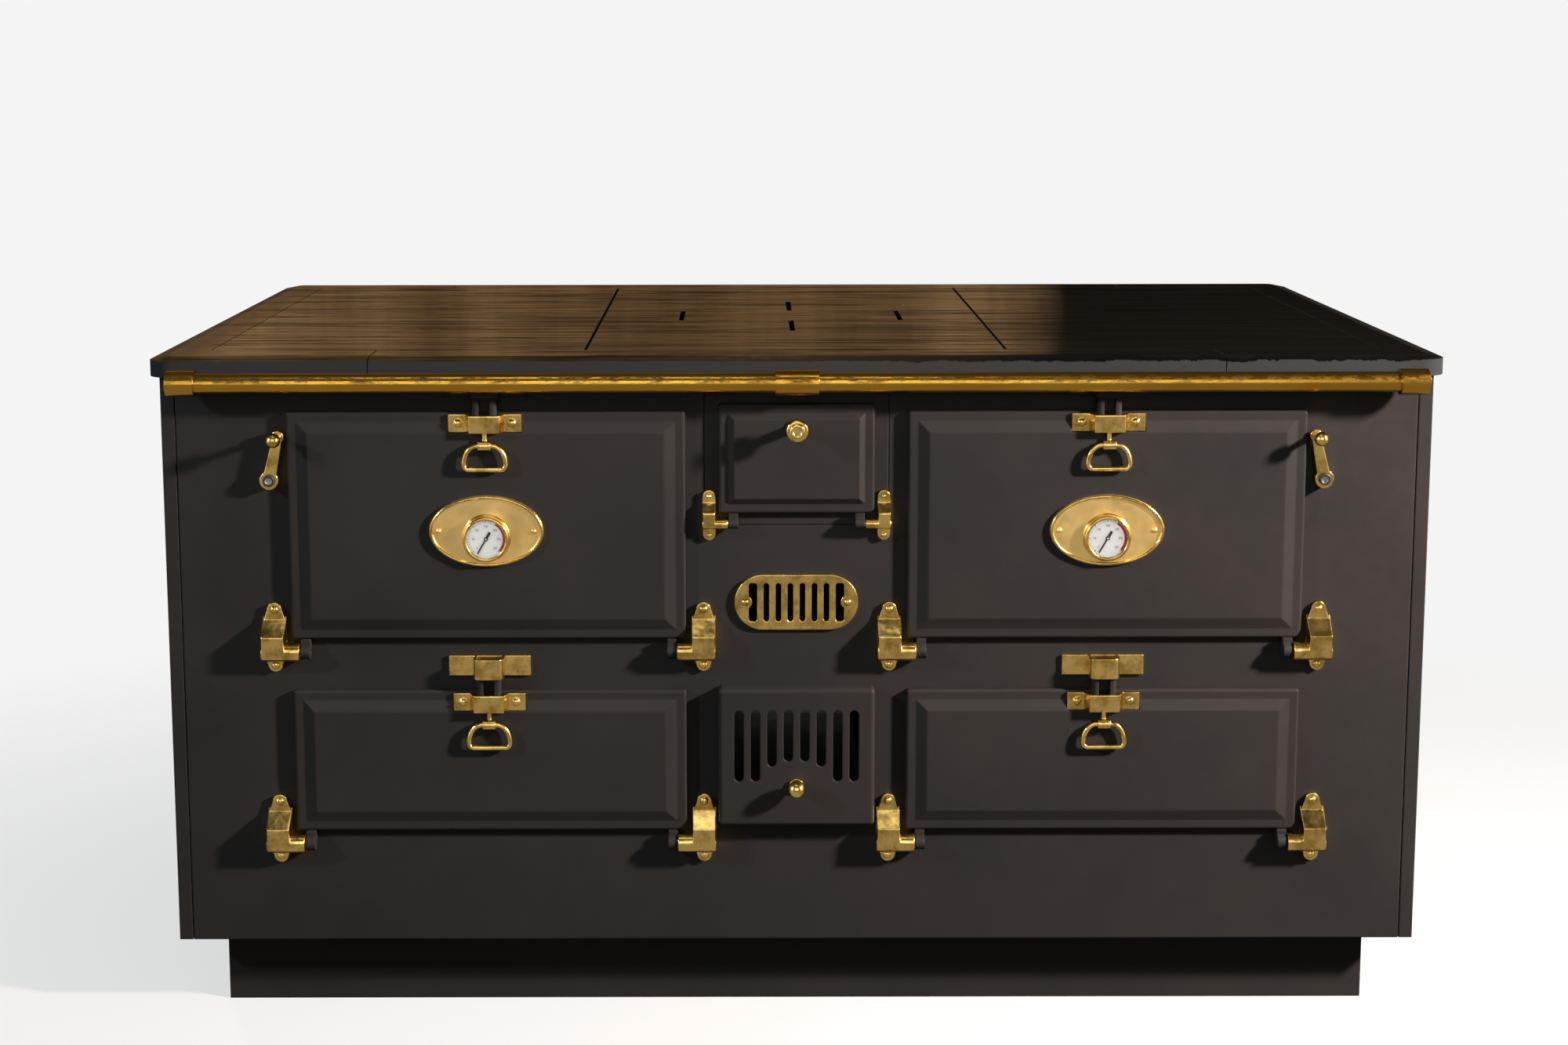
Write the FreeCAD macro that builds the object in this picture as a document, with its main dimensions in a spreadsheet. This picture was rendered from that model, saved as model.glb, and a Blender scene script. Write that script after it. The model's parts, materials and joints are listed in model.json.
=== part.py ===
import FreeCAD, Part
import os
import re
from math import pi

# A solid fuel range cooker in cast iron: two ovens, two lower compartments, a fire box and an ash
# drawer under a flat worktop. The origin is on the floor under the middle of the worktop, +Z is up,
# the front looks along -Y and left means -X. All sizes are in millimetres.

SIZES = [
    # worktop
    ("worktop_width", 1600, "left to right over the rim"),
    ("worktop_depth", 900, "front to back over the rim"),
    ("worktop_height", 850, "floor to cooking surface"),
    ("worktop_thick", 24, "height of the rim castings"),
    ("bevel_run", 20, "width of the bevel round the upper edge"),
    ("bevel_drop", 4, "fall of that bevel"),
    ("corner_radius", 30, "corners of the rim seen from above"),
    ("rim_side", 64, "width of the rim at the left and right"),
    ("rim_front", 75, "width of the rim at the front and back"),
    ("ledge_width", 12, "ledge of the rim that carries the plates"),
    ("ledge_thick", 6, "thickness of that ledge"),
    ("rim_end", 273, "end of the worktop to a joint of the rim"),
    ("plate_joint", 265, "middle of the cooker to a joint of the plates"),
    ("seam_gap", 1.2, "open seam between neighbouring castings"),
    ("slot_long", 120, "cooling slot of the centre plate"),
    ("slot_wide", 7, "width of a cooling slot"),
    ("slot_side", 153, "middle of the plate to the side slots"),
    ("slot_ahead", 120, "middle of the plate to the front and back slots"),
    # body
    ("overhang", 14, "worktop past the body on every side"),
    ("front_thick", 12, "front frame casting"),
    ("side_thick", 8, "side panel"),
    ("back_thick", 6, "back panel"),
    ("corner_strip", 18, "front return of a side panel"),
    ("relief_margin", 70, "edge of a side panel to its raised field"),
    ("relief_rise", 3, "rise of that field"),
    ("plinth_tall", 100, "floor to the underside of the body"),
    ("plinth_recess", 50, "plinth behind the faces of the body"),
    ("plinth_wall", 5, "plinth plate"),
    ("base_thick", 6, "base plate"),
    # oven doors and lower doors
    ("door_inner", 138, "middle of the cooker to the inner edge of a door"),
    ("door_width", 492, "oven doors and lower doors"),
    ("oven_door_drop", 67.5, "worktop to the upper edge of an oven door"),
    ("oven_door_tall", 287, "height of an oven door"),
    ("lower_door_drop", 421, "worktop to the upper edge of a lower door"),
    ("lower_door_tall", 181.5, "height of a lower door"),
    ("door_thick", 9, "door plate at its border"),
    ("door_gap", 1, "seal gap behind a door"),
    ("door_border", 12, "flat border of a door"),
    ("door_edge", 3, "rounded outer edges of the doors"),
    ("panel_bevel", 14, "width of the slope round a raised panel"),
    ("panel_edge", 6, "rounded edges of a raised panel"),
    ("panel_rise", 5, "rise of a raised panel"),
    ("door_lap", 28, "door past its opening on every side"),
    ("plug_depth", 9, "lining of a door inside its opening"),
    ("plug_gap", 4, "room round that lining"),
    # fire door
    ("fire_half", 96.5, "half of the width of the fire door"),
    ("fire_drop", 58, "worktop to the upper edge of the fire door"),
    ("fire_tall", 137.5, "height of the fire door"),
    ("fire_border", 12, "flat border of the fire door"),
    ("fire_bevel", 7, "slope round its raised panel"),
    ("fire_lap", 14, "fire door past its opening"),
    ("surround_half", 114, "half of the width of the fire door frame"),
    ("surround_below", 16, "lower edge of the fire door to that of its frame"),
    ("fire_knob_drop", 28, "upper edge of the fire door to the axis of its knob"),
    ("fire_knob_radius", 14, "head of that knob"),
    ("fire_knob_out", 51, "front of the body to the front of the knob"),
    ("fire_knob_head", 10, "depth of the head"),
    ("fire_knob_neck", 6, "radius of its neck"),
    ("fire_knob_round", 3.5, "rounded edges of the head"),
    ("tongue_long", 30, "turning tongue behind the fire door"),
    # hinges
    ("pivot_out", 13, "front of the body to the hinge axes"),
    ("oven_pivot_drop", 15.5, "lower edge of a door to its hinge axis"),
    ("fire_pivot_drop", 12.5, "the same at the fire door"),
    ("oven_knuckle", 12, "radius of the hinge knuckles"),
    ("fire_knuckle", 6.5, "radius of the fire door's knuckles"),
    ("oven_bracket_wide", 30, "width of a hinge bracket"),
    ("fire_bracket_wide", 17, "width of a fire door bracket"),
    ("oven_bracket_gap", 7, "edge of a door to its bracket"),
    ("fire_bracket_gap", 3.5, "edge of the fire door to its bracket"),
    ("oven_arm", 18, "knuckle arm past its bracket"),
    ("fire_arm", 15, "the same at the fire door"),
    ("oven_ear_up", 61, "hinge axis to the tip of the upper ear"),
    ("oven_ear_down", 27, "hinge axis to the tip of the lower ear"),
    ("fire_ear_up", 41, "the same at the fire door"),
    ("fire_ear_down", 22, "the same at the fire door"),
    ("ear_thick", 6, "thickness of the ears"),
    ("ear_round", 1.6, "rounded edges of the brackets"),
    ("knuckle_round", 1.2, "rounded ends of the knuckles"),
    ("pin_radius", 3, "hinge pins"),
    ("pin_long", 12, "pin past its knuckle"),
    ("lug_radius", 9, "lugs of an oven door or lower door"),
    ("fire_lug_radius", 6, "lugs of the fire door"),
    ("lug_wide", 12, "width of a lug"),
    ("running_gap", 0.05, "pin or shaft in its bore, on the radius"),
    ("side_play", 0.5, "between faces that turn past each other"),
    # latch of a door
    ("latch_drop", 13.5, "upper edge of a door to the middle of its strap"),
    ("strap_wide", 90, "strap over the latch bolt"),
    ("strap_tall", 22.5, "height of the strap"),
    ("strap_foot", 4, "thickness of its feet"),
    ("bridge_half", 26, "half of the width of its bridge"),
    ("bridge_slope", 7.5, "run of the slopes between the feet and the bridge"),
    ("bridge_round", 1.5, "rounded front edges of the bridge"),
    ("bridge_out", 17, "bridge in front of the door"),
    ("strap_screws", 66, "between its screws"),
    ("bolt_half", 15, "half of the width of the latch bolt"),
    ("bolt_deep", 12.2, "depth of the bolt"),
    ("bolt_play", 0.4, "room round the bolt"),
    ("bolt_floor", 4, "web of the channelled bolt"),
    ("bolt_channel", 7, "half of the width of its channel"),
    ("bolt_long", 42, "length of the bolt above its neck"),
    ("bolt_reach", 17.5, "upper edge of the door to the tip of the bolt"),
    ("bolt_corner", 5, "rounded front edges of the bolt"),
    ("neck_radius", 3.2, "neck under the bolt"),
    ("neck_long", 9.5, "length of the neck"),
    ("eye_half", 8, "half of the width of the ring's eye"),
    ("eye_radius", 6, "outside of the eye"),
    ("eye_out", 12.5, "door face to the middle of the eye"),
    ("eye_drop", 40.5, "upper edge of the door to the middle of the eye"),
    ("ring_half", 29, "half of the width of the ring pull"),
    ("ring_tall", 36, "height of the ring pull"),
    ("ring_corner", 6, "bend between its bar and its arch"),
    ("ring_wire", 3.2, "radius of its wire"),
    ("ring_room", 0.7, "wire in its eye, on the radius"),
    ("keeper_lift", 18, "upper edge of the door to the keeper"),
    ("keeper_wide", 102, "keeper plate"),
    ("keeper_tall", 25.5, "height of the keeper plate"),
    ("keeper_thick", 4, "thickness of the keeper plate"),
    ("socket_half", 19, "half of the width of its socket"),
    ("socket_wall", 3.4, "wall of the socket"),
    ("socket_corner", 8.5, "rounded front edges of the socket"),
    ("lower_socket_tall", 25.5, "height of the socket above a lower door"),
    ("oven_socket_tall", 9, "the same above an oven door"),
    # thermometer
    ("plate_up", 139, "lower edge of the door to the middle of the oval plate"),
    ("plate_half_wide", 70.5, "half of the length of the oval plate"),
    ("plate_half_tall", 44.5, "half of its height"),
    ("plate_thick", 4, "thickness of the plate"),
    ("plate_rim", 4, "width of its raised rim"),
    ("plate_recess", 1.2, "field of the plate behind its rim"),
    ("plate_screws", 118, "between its screws"),
    ("dial_up", 130, "lower edge of the door to the middle of the dial"),
    ("dial_radius", 25, "white face of the dial"),
    ("bezel_radius", 28, "outside of the case"),
    ("bezel_round", 1.2, "rounded edge of the case"),
    ("case_deep", 8, "case in front of the oval plate"),
    ("case_floor", 3, "floor of the case behind the face"),
    ("glass_thick", 1.5, "glass of the dial"),
    ("needle_long", 21, "tip of the needle to its axis"),
    ("needle_tail", 10, "counterweight to its axis"),
    ("probe_radius", 4, "probe through the door"),
    ("probe_long", 45, "probe behind the door panel"),
    # crank levers and dampers
    ("crank_beside", 22, "outer edge of an oven door to a crank's axis"),
    ("crank_drop", 152.5, "worktop to that axis"),
    ("crank_lean", 12.4, "lean of the lever towards the middle, in degrees"),
    ("crank_arm", 56, "axis to the handle"),
    ("crank_hub", 11.5, "radius of the hub"),
    ("crank_deep", 14, "hub in front of the body"),
    ("crank_thick", 8, "depth of the arm"),
    ("crank_root", 8, "half of the width of the arm at the hub"),
    ("crank_tip", 5.5, "the same at the handle"),
    ("handle_radius", 9, "head of the handle"),
    ("handle_out", 50, "body to the front of the handle"),
    ("shaft_radius", 5, "damper shaft"),
    ("shaft_end", 392, "front of the body to the end of the shaft"),
    ("cap_radius", 6.5, "steel cap on the shaft"),
    ("hex_half", 3.4, "half of the width of the hexagon in the cap"),
    ("flap_half", 38, "half of the width of a damper flap"),
    ("flap_front", 254, "front of the body to the flap"),
    ("flap_long", 120, "length of a flap"),
    ("flap_thick", 4, "thickness of a flap"),
    ("baffle_drop", 8, "shaft axis to the top of its baffle"),
    ("baffle_thick", 4, "thickness of a baffle"),
    ("baffle_margin", 18, "baffle past its opening, front and back"),
    ("baffle_room", 2, "flap in its opening"),
    # hand rail
    ("rail_radius", 12.5, "brass tube"),
    ("rail_wall", 1.5, "wall of the tube"),
    ("rail_drop", 28, "worktop to the middle of the tube"),
    ("rail_out", 35, "body to the middle of the tube"),
    ("rail_inset", 32, "end of the worktop to the end of a cap"),
    ("rail_cap", 34, "length of an end cap"),
    ("rail_collar", 53, "length of the centre collar"),
    ("rail_fitting", 16, "radius of caps and collar"),
    ("rail_support_inset", 100, "end of the worktop to a side bracket"),
    # vent and ash drawer
    ("vent_drop", 309.5, "worktop to the middle of the vent"),
    ("vent_long", 154, "length of the vent grille"),
    ("vent_tall", 70, "height of the vent grille"),
    ("vent_thick", 5, "thickness of the grille"),
    ("vent_pitch", 15, "between its slots"),
    ("vent_slot_wide", 7, "width of a slot"),
    ("vent_slot_tall", 49, "height of a slot"),
    ("vent_screws", 128, "between its screws"),
    ("vent_end_wide", 10.5, "width of its end slots"),
    ("vent_corner", 3.4, "rounded corners of the end slots"),
    ("vent_boss", 8.6, "round land of a screw in the grille"),
    ("ash_half", 98, "half of the width of the ash drawer's front"),
    ("ash_drop", 416.5, "worktop to its upper edge"),
    ("ash_tall", 177, "height of the front"),
    ("ash_out", 22, "front stands out of the body"),
    ("ash_wall", 5, "wall of the front"),
    ("ash_edge", 5, "rounded edges of the front"),
    ("ash_lap", 10, "front past its opening"),
    ("ash_slot_wide", 11.6, "width of its slots"),
    ("ash_pitch", 20.6, "between its slots"),
    ("ash_slot_drop", 27.5, "upper edge to the tops of the slots"),
    ("ash_slot_long", 92, "outer two slots at each side"),
    ("ash_slot_mid", 72.5, "third slot from each side"),
    ("ash_slot_short", 66, "middle two slots"),
    ("ash_knob_up", 53.5, "lower edge of the front to the knob"),
    ("ash_knob_radius", 11, "ball of the knob"),
    ("ash_knob_out", 40, "body to the middle of the ball"),
    ("pan_half", 84, "half of the width of the ash pan"),
    ("pan_up", 13.5, "lower edge of the front to the bottom of the pan"),
    ("pan_tall", 38, "height of the pan"),
    ("pan_long", 440, "length of the pan"),
    ("pan_wall", 2, "sheet of the pan"),
    # inside
    ("oven_deep", 500, "depth of the ovens and lower compartments"),
    ("oven_wall", 5, "wall of the ovens"),
    ("rack_up", 120, "oven floor to the rack"),
    ("rack_half", 206, "middle of the oven to the rack's side rods"),
    ("rack_deep", 400, "front to back of the rack"),
    ("rack_back", 14, "back of the front frame to the rack"),
    ("rack_rod", 3, "radius of its frame rods"),
    ("rack_wire", 2, "radius of its wires"),
    ("rack_wires", 11, "number of wires"),
    ("rack_ledge", 15, "ledges that carry the rack"),
    ("seat_gap", 0.3, "sliding pieces on what carries them"),
    ("fire_box_half", 130, "half of the width of the fire box"),
    ("fire_box_wall", 6, "wall of the fire box"),
    ("fire_box_deep", 540, "depth of the fire box"),
    ("fire_box_below", 30, "bottom of the ash pan to the underside of the fire box"),
    ("fire_box_drop", 44, "worktop to the upper edge of the fire box"),
    ("brick_thick", 25, "fire bricks"),
    ("brick_tall", 200, "height of the bricks"),
    ("brick_deep", 480, "length of a side brick"),
    ("grate_drop", 260, "worktop to the underside of the grate"),
    ("grate_thick", 12, "thickness of the grate"),
    ("grate_bar", 10, "width of a grate bar"),
    ("grate_slots", 6, "openings across the grate"),
    # flue
    ("flue_drop", 160, "worktop to the middle of the flue"),
    ("flue_radius", 75, "outside of the flue spigot"),
    ("flue_wall", 5, "wall of the spigot"),
    ("flue_flange", 95, "radius of its flange"),
    ("flue_long", 51, "spigot behind the back panel"),
    # screws
    ("screw_head", 5.4, "radius of a round head"),
    ("plate_screw_head", 3.4, "heads in the oval plates"),
    ("screw_rise", 3, "height of a round head"),
    ("screw_shank", 2.4, "radius of a shank"),
    ("screw_bite", 7, "shank past the seat of its piece"),
    ("fire_screw_head", 3.6, "heads at the fire door's hinges"),
    ("vent_screw_head", 5, "heads in the vent grille"),
]

doc = FreeCAD.newDocument("range_cooker")
sheet = doc.addObject("Spreadsheet::Sheet", "Sizes")
for row, (name, value, note) in enumerate(SIZES, start=1):
    sheet.set(f"A{row}", name)
    sheet.set(f"B{row}", str(value))
    sheet.set(f"C{row}", note)
    sheet.setAlias(f"B{row}", name)
doc.recompute()

SIZE_NAMES = {name for name, _, _ in SIZES}
WORD = re.compile(r"[a-z_]+")
SIDES = (("left", -1), ("right", 1))
TURNS = {
    "x": FreeCAD.Rotation(FreeCAD.Vector(0, 1, 0), 90),
    "y": FreeCAD.Rotation(FreeCAD.Vector(1, 0, 0), -90),
    "z": FreeCAD.Rotation(),
}
UP = FreeCAD.Vector(0, 1, 0)
WEDGE = ("Xmin", "Xmax", "Zmin", "Zmax", "X2min", "X2max", "Z2min", "Z2max")

# Places that many pieces share, as formulas of the sheet.
FACE = "(overhang - worktop_depth / 2)"
BEHIND = f"({FACE} + front_thick)"
REAR = "(worktop_depth / 2 - overhang)"
HALF_BODY = "(worktop_width / 2 - overhang)"
UNDER_TOP = "(worktop_height - worktop_thick)"
DOOR_FACE = f"({FACE} - door_gap - door_thick)"
PANEL_FACE = f"({DOOR_FACE} - panel_rise)"
PIVOT_Y = f"({FACE} - pivot_out)"
BASE_TOP = "(plinth_tall + base_thick)"
SHAFT_BORE = "(shaft_radius + running_gap)"
RIM_JOINT = "(worktop_width / 2 - rim_end)"
DOOR_MIDDLE = "(door_inner + door_width / 2)"
OVEN_LOW = "(worktop_height - oven_door_drop - oven_door_tall)"
LOWER_LOW = "(worktop_height - lower_door_drop - lower_door_tall)"
FIRE_LOW = "(worktop_height - fire_drop - fire_tall)"
SURROUND_LOW = f"({FIRE_LOW} - surround_below)"
FIRE_KNOB_Z = "(worktop_height - fire_drop - fire_knob_drop)"
CRANK_X = "(door_inner + door_width + crank_beside)"
CRANK_Z = "(worktop_height - crank_drop)"
RAIL_Z = "(worktop_height - rail_drop)"
RAIL_HALF = "(worktop_width / 2 - rail_inset)"
RAIL_SUPPORT = "(worktop_width / 2 - rail_support_inset)"
VENT_Z = "(worktop_height - vent_drop)"
ASH_LOW = "(worktop_height - ash_drop - ash_tall)"
ASH_KNOB_Z = f"({ASH_LOW} + ash_knob_up)"
PAN_LOW = f"({ASH_LOW} + pan_up)"
FIRE_BOX_LOW = f"({PAN_LOW} - fire_box_below)"
FIRE_BOX_TOP = "(worktop_height - fire_box_drop)"
GRATE_LOW = "(worktop_height - grate_drop)"
FLUE_Z = "(worktop_height - flue_drop)"

nodes = {}


def size(name):
    """The number in a cell of the sheet."""
    return float(sheet.get(name))


def bind(thing, field, text):
    """Tie a field of an object to a formula of the sheet's names."""
    names = lambda word: "Sizes." + word.group(0) if word.group(0) in SIZE_NAMES else word.group(0)
    thing.setExpression(field, WORD.sub(names, text))


def node(name, thing):
    """Name a finished sub-part."""
    thing.Label = name
    nodes[name] = thing
    return thing


def box(x, y, z):
    """A block between a low and a high formula along each axis."""
    block = doc.addObject("Part::Box", "block")
    for side, axis, (low, high) in zip(("Length", "Width", "Height"), "xyz", (x, y, z)):
        bind(block, side, f"({high}) - ({low})")
        bind(block, "Placement.Base." + axis, low)
    return block


def place(thing, x, y, z):
    """Tie an object's position to three formulas."""
    for axis, text in zip("xyz", (x, y, z)):
        bind(thing, "Placement.Base." + axis, text)
    return thing


def rod(axis, radius, low, high, x="0", y="0", z="0"):
    """A cylinder along an axis between two formulas; the other two formulas are its centre."""
    bar = doc.addObject("Part::Cylinder", "rod")
    bar.Placement = FreeCAD.Placement(FreeCAD.Vector(), TURNS[axis])
    bind(bar, "Radius", radius)
    bind(bar, "Height", f"({high}) - ({low})")
    spot = {"x": x, "y": y, "z": z}
    spot[axis] = low
    return place(bar, spot["x"], spot["y"], spot["z"])


def ball(radius, x, y, z):
    """A sphere."""
    sphere = doc.addObject("Part::Sphere", "ball")
    bind(sphere, "Radius", radius)
    return place(sphere, x, y, z)


def frustum(base_x, base_z, base_y, tip_x, tip_z, tip_y):
    """A block that narrows from a rectangle at the back to a smaller one nearer the front."""
    wedge = doc.addObject("Part::Wedge", "frustum")
    bind(wedge, "Ymin", tip_y)
    bind(wedge, "Ymax", base_y)
    for field, text in zip(WEDGE, (*tip_x, *tip_z, *base_x, *base_z)):
        bind(wedge, field, text)
    return wedge


def taper(low_x, low_y, low_z, high_x, high_y, high_z):
    """A block whose width and depth change from a lower to an upper level."""
    block = doc.addObject("Part::Wedge", "taper")
    block.Placement = FreeCAD.Placement(FreeCAD.Vector(), FreeCAD.Rotation(FreeCAD.Vector(1, 0, 0), 90))
    bind(block, "Ymin", low_z)
    bind(block, "Ymax", high_z)
    turned = [(f"-({back})", f"-({front})") for front, back in (low_y, high_y)]
    for field, text in zip(WEDGE, (*low_x, *turned[0], *high_x, *turned[1])):
        bind(block, field, text)
    return block


def fuse(*things):
    """One solid from several that overlap."""
    joined = doc.addObject("Part::MultiFuse", "fuse")
    joined.Shapes = list(things)
    joined.Refine = True
    return joined


def group(*things):
    """Separate solids that share a node."""
    compound = doc.addObject("Part::Compound", "group")
    compound.Links = list(things)
    return compound


def cut(base, *tools):
    """A solid with others taken out of it."""
    result = doc.addObject("Part::Cut", "cut")
    result.Base = base
    result.Tool = tools[0] if len(tools) == 1 else fuse(*tools)
    result.Refine = True
    return result


def common(first, second):
    """What two solids share."""
    result = doc.addObject("Part::Common", "common")
    result.Base = first
    result.Tool = second
    return result


def edges_where(thing, test):
    """The numbers of the edges that a test picks, once the object is built."""
    doc.recompute()
    return [number for number, edge in enumerate(thing.Shape.Edges, start=1) if test(edge)]


def rounded(thing, radius, test):
    """Fillet the edges that a test picks."""
    fillet = doc.addObject("Part::Fillet", "rounded")
    fillet.Base = thing
    fillet.Edges = [(number, size(radius), size(radius)) for number in edges_where(thing, test)]
    return fillet


def along(edge, axis):
    """Whether a straight edge runs along X, Y or Z."""
    run = edge.Vertexes[-1].Point - edge.Vertexes[0].Point
    return len(edge.Vertexes) == 2 and abs(abs(getattr(run, axis)) - run.Length) < 1e-6


def outward(sign, near, far):
    """The span between two distances from the middle of the cooker, on one side of it."""
    if sign > 0:
        return near, far
    return f"-({far})", f"-({near})"


def about(middle, half):
    """The span of a half width on both sides of a middle."""
    return f"({middle}) - ({half})", f"({middle}) + ({half})"


def screw(x, z, seat, head="screw_head", bite="screw_bite"):
    """A domed head on a seat, with its shank behind; and the hole that the shank needs."""
    sphere = f"({head} * {head} + screw_rise * screw_rise) / (2 * screw_rise)"
    dome = ball(sphere, x, f"({seat}) - screw_rise + {sphere}", z)
    front = box(about(x, f"1.3 * {head}"), (f"({seat}) - screw_rise - 1", seat), about(z, f"1.3 * {head}"))
    shank = rod("y", "screw_shank", f"({seat}) - screw_rise / 4", f"({seat}) + {bite}", x=x, z=z)
    hole = rod("y", "screw_shank + running_gap", f"({seat}) - 20", f"({seat}) + {bite} + side_play", x=x, z=z)
    return fuse(common(dome, front), shank), hole


# ---------------------------------------------------------------------------------------- worktop

def worktop_blank():
    """The whole worktop with its rounded corners and sloping upper edge, before it is divided."""
    half_wide = "worktop_width / 2"
    half_deep = "worktop_depth / 2"
    slab = box(about("0", half_wide), about("0", half_deep), (UNDER_TOP, "worktop_height"))
    slab = rounded(slab, "corner_radius", lambda edge: along(edge, "z"))
    top = size("worktop_height")
    bevelled = doc.addObject("Part::Chamfer", "bevelled")
    bevelled.Base = slab
    upper = edges_where(slab, lambda edge: all(abs(v.Z - top) < 1e-6 for v in edge.Vertexes))
    drop_first = slab.Shape.Edges[upper[0] - 1]
    run, drop = size("bevel_run"), size("bevel_drop")
    bevelled.Edges = [(number, drop, run) for number in upper]
    doc.recompute()
    flat = max(face.Area for face in bevelled.Shape.Faces if face.CenterOfMass.z > top - 0.01)
    wide, deep = size("worktop_width") - 2 * run, size("worktop_depth") - 2 * run
    if abs(flat - wide * deep) > 0.01 * wide * deep:
        bevelled.Edges = [(number, run, drop) for number in upper]
    return bevelled


def worktop():
    """Rim castings round three plates that lie on the rim's ledge."""
    inner_x = "worktop_width / 2 - rim_side"
    inner_y = "worktop_depth / 2 - rim_front"
    plate_low = f"{UNDER_TOP} + ledge_thick"
    well = box(about("0", inner_x), about("0", inner_y), (plate_low, "worktop_height + 1"))
    through = box(about("0", f"{inner_x} - ledge_width"), about("0", f"{inner_y} - ledge_width"),
                  (f"{UNDER_TOP} - 1", "worktop_height + 1"))
    rim = cut(worktop_blank(), fuse(well, through))
    deep = about("0", "worktop_depth")
    tall = ("worktop_height - 2 * worktop_thick", "worktop_height + worktop_thick")
    ends = [common(rim, box(outward(sign, f"{RIM_JOINT} + seam_gap / 2", "worktop_width"), deep, tall))
            for _, sign in SIDES]
    node("rim_ends", group(*ends))
    middle_x = about("0", f"{RIM_JOINT} - seam_gap / 2")
    strips = [common(rim, box(middle_x, outward(sign, "0", "worktop_depth"), tall)) for _, sign in SIDES]
    node("rim_middle", group(*strips))

    plate_y = about("0", f"{inner_y} - seam_gap")
    plate_z = (plate_low, "worktop_height")
    for side, sign in SIDES:
        reach = outward(sign, "plate_joint + seam_gap / 2", f"{inner_x} - seam_gap")
        node("hotplate_" + side, box(reach, plate_y, plate_z))
    centre = box(about("0", "plate_joint - seam_gap / 2"), plate_y, plate_z)
    spots = [(f"{sign} * slot_side", "0") for _, sign in SIDES]
    spots += [("0", f"{sign} * slot_ahead") for _, sign in SIDES]
    slots = [box(about(x, "slot_wide / 2"), about(y, "slot_long / 2"), (UNDER_TOP, "worktop_height + 1"))
             for x, y in spots]
    node("hotplate_centre", cut(centre, *slots))


# ------------------------------------------------------------------------------------------ doors

def door_opening(low, tall):
    """Height of the opening behind a door."""
    return f"{low} + door_lap", f"{low} + {tall} - door_lap"


def soft_plate(plate, radius):
    """A plate with its front edges and its four corners rounded."""
    return rounded(plate, radius, lambda edge: along(edge, "y") or edge.CenterOfMass.y < front_of(plate))


def lowest(thing):
    """A plane just above the lower face of a built object."""
    doc.recompute()
    return thing.Shape.BoundBox.ZMin + 0.1


def panel_back(thing):
    """A plane just in front of the back face of a built object."""
    doc.recompute()
    return thing.Shape.BoundBox.YMax - 0.1


def door_plate(sign, low, tall):
    """A door: bordered plate, raised panel with a flat pad for the latch, lining and hinge lugs."""
    middle = f"{sign} * {DOOR_MIDDLE}"
    high = f"{low} + {tall}"
    half = "door_width / 2"
    plate = soft_plate(box(about(middle, half), (DOOR_FACE, f"{FACE} - door_gap"), (low, high)), "door_edge")
    inner = "door_border + panel_bevel"
    panel = frustum(
        about(middle, f"{half} - door_border"), (f"{low} + door_border", f"{high} - door_border"), DOOR_FACE,
        about(middle, f"{half} - ({inner})"), (f"{low} + {inner}", f"{high} - ({inner})"), PANEL_FACE)
    panel = rounded(panel, "panel_edge", lambda edge: edge.CenterOfMass.y < front_of(panel))
    pad = box(about(middle, "strap_wide / 2 + side_play"), (f"{PANEL_FACE} - 1", DOOR_FACE),
              (f"{high} - latch_drop - strap_tall / 2 - side_play", high))
    lining = box(about(middle, f"{half} - door_lap - plug_gap"),
                 (f"{FACE} - door_gap", f"{FACE} - door_gap + plug_depth"),
                 (f"{low} + door_lap + plug_gap", f"{high} - door_lap - plug_gap"))
    pivot_z = f"{low} - oven_pivot_drop"
    lugs = []
    bores = []
    for end in (-1, 1):
        edge = f"{middle} + {end} * ({half} - (oven_arm - oven_bracket_gap) - side_play"
        span = (f"{edge} - lug_wide)", f"{edge})") if end > 0 else (f"{edge})", f"{edge} - lug_wide)")
        lugs.append(rod("x", "lug_radius", *span, y=PIVOT_Y, z=pivot_z))
        lugs.append(box(span, (f"{PIVOT_Y} - 1", f"{FACE} - door_gap - 1"), (pivot_z, low)))
        bore = (f"({span[0]}) - 1", f"({span[1]}) + 1")
        bores.append(rod("x", "pin_radius + running_gap", *bore, y=PIVOT_Y, z=pivot_z))
    return fuse(plate, cut(panel, pad), lining, *lugs), bores


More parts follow.
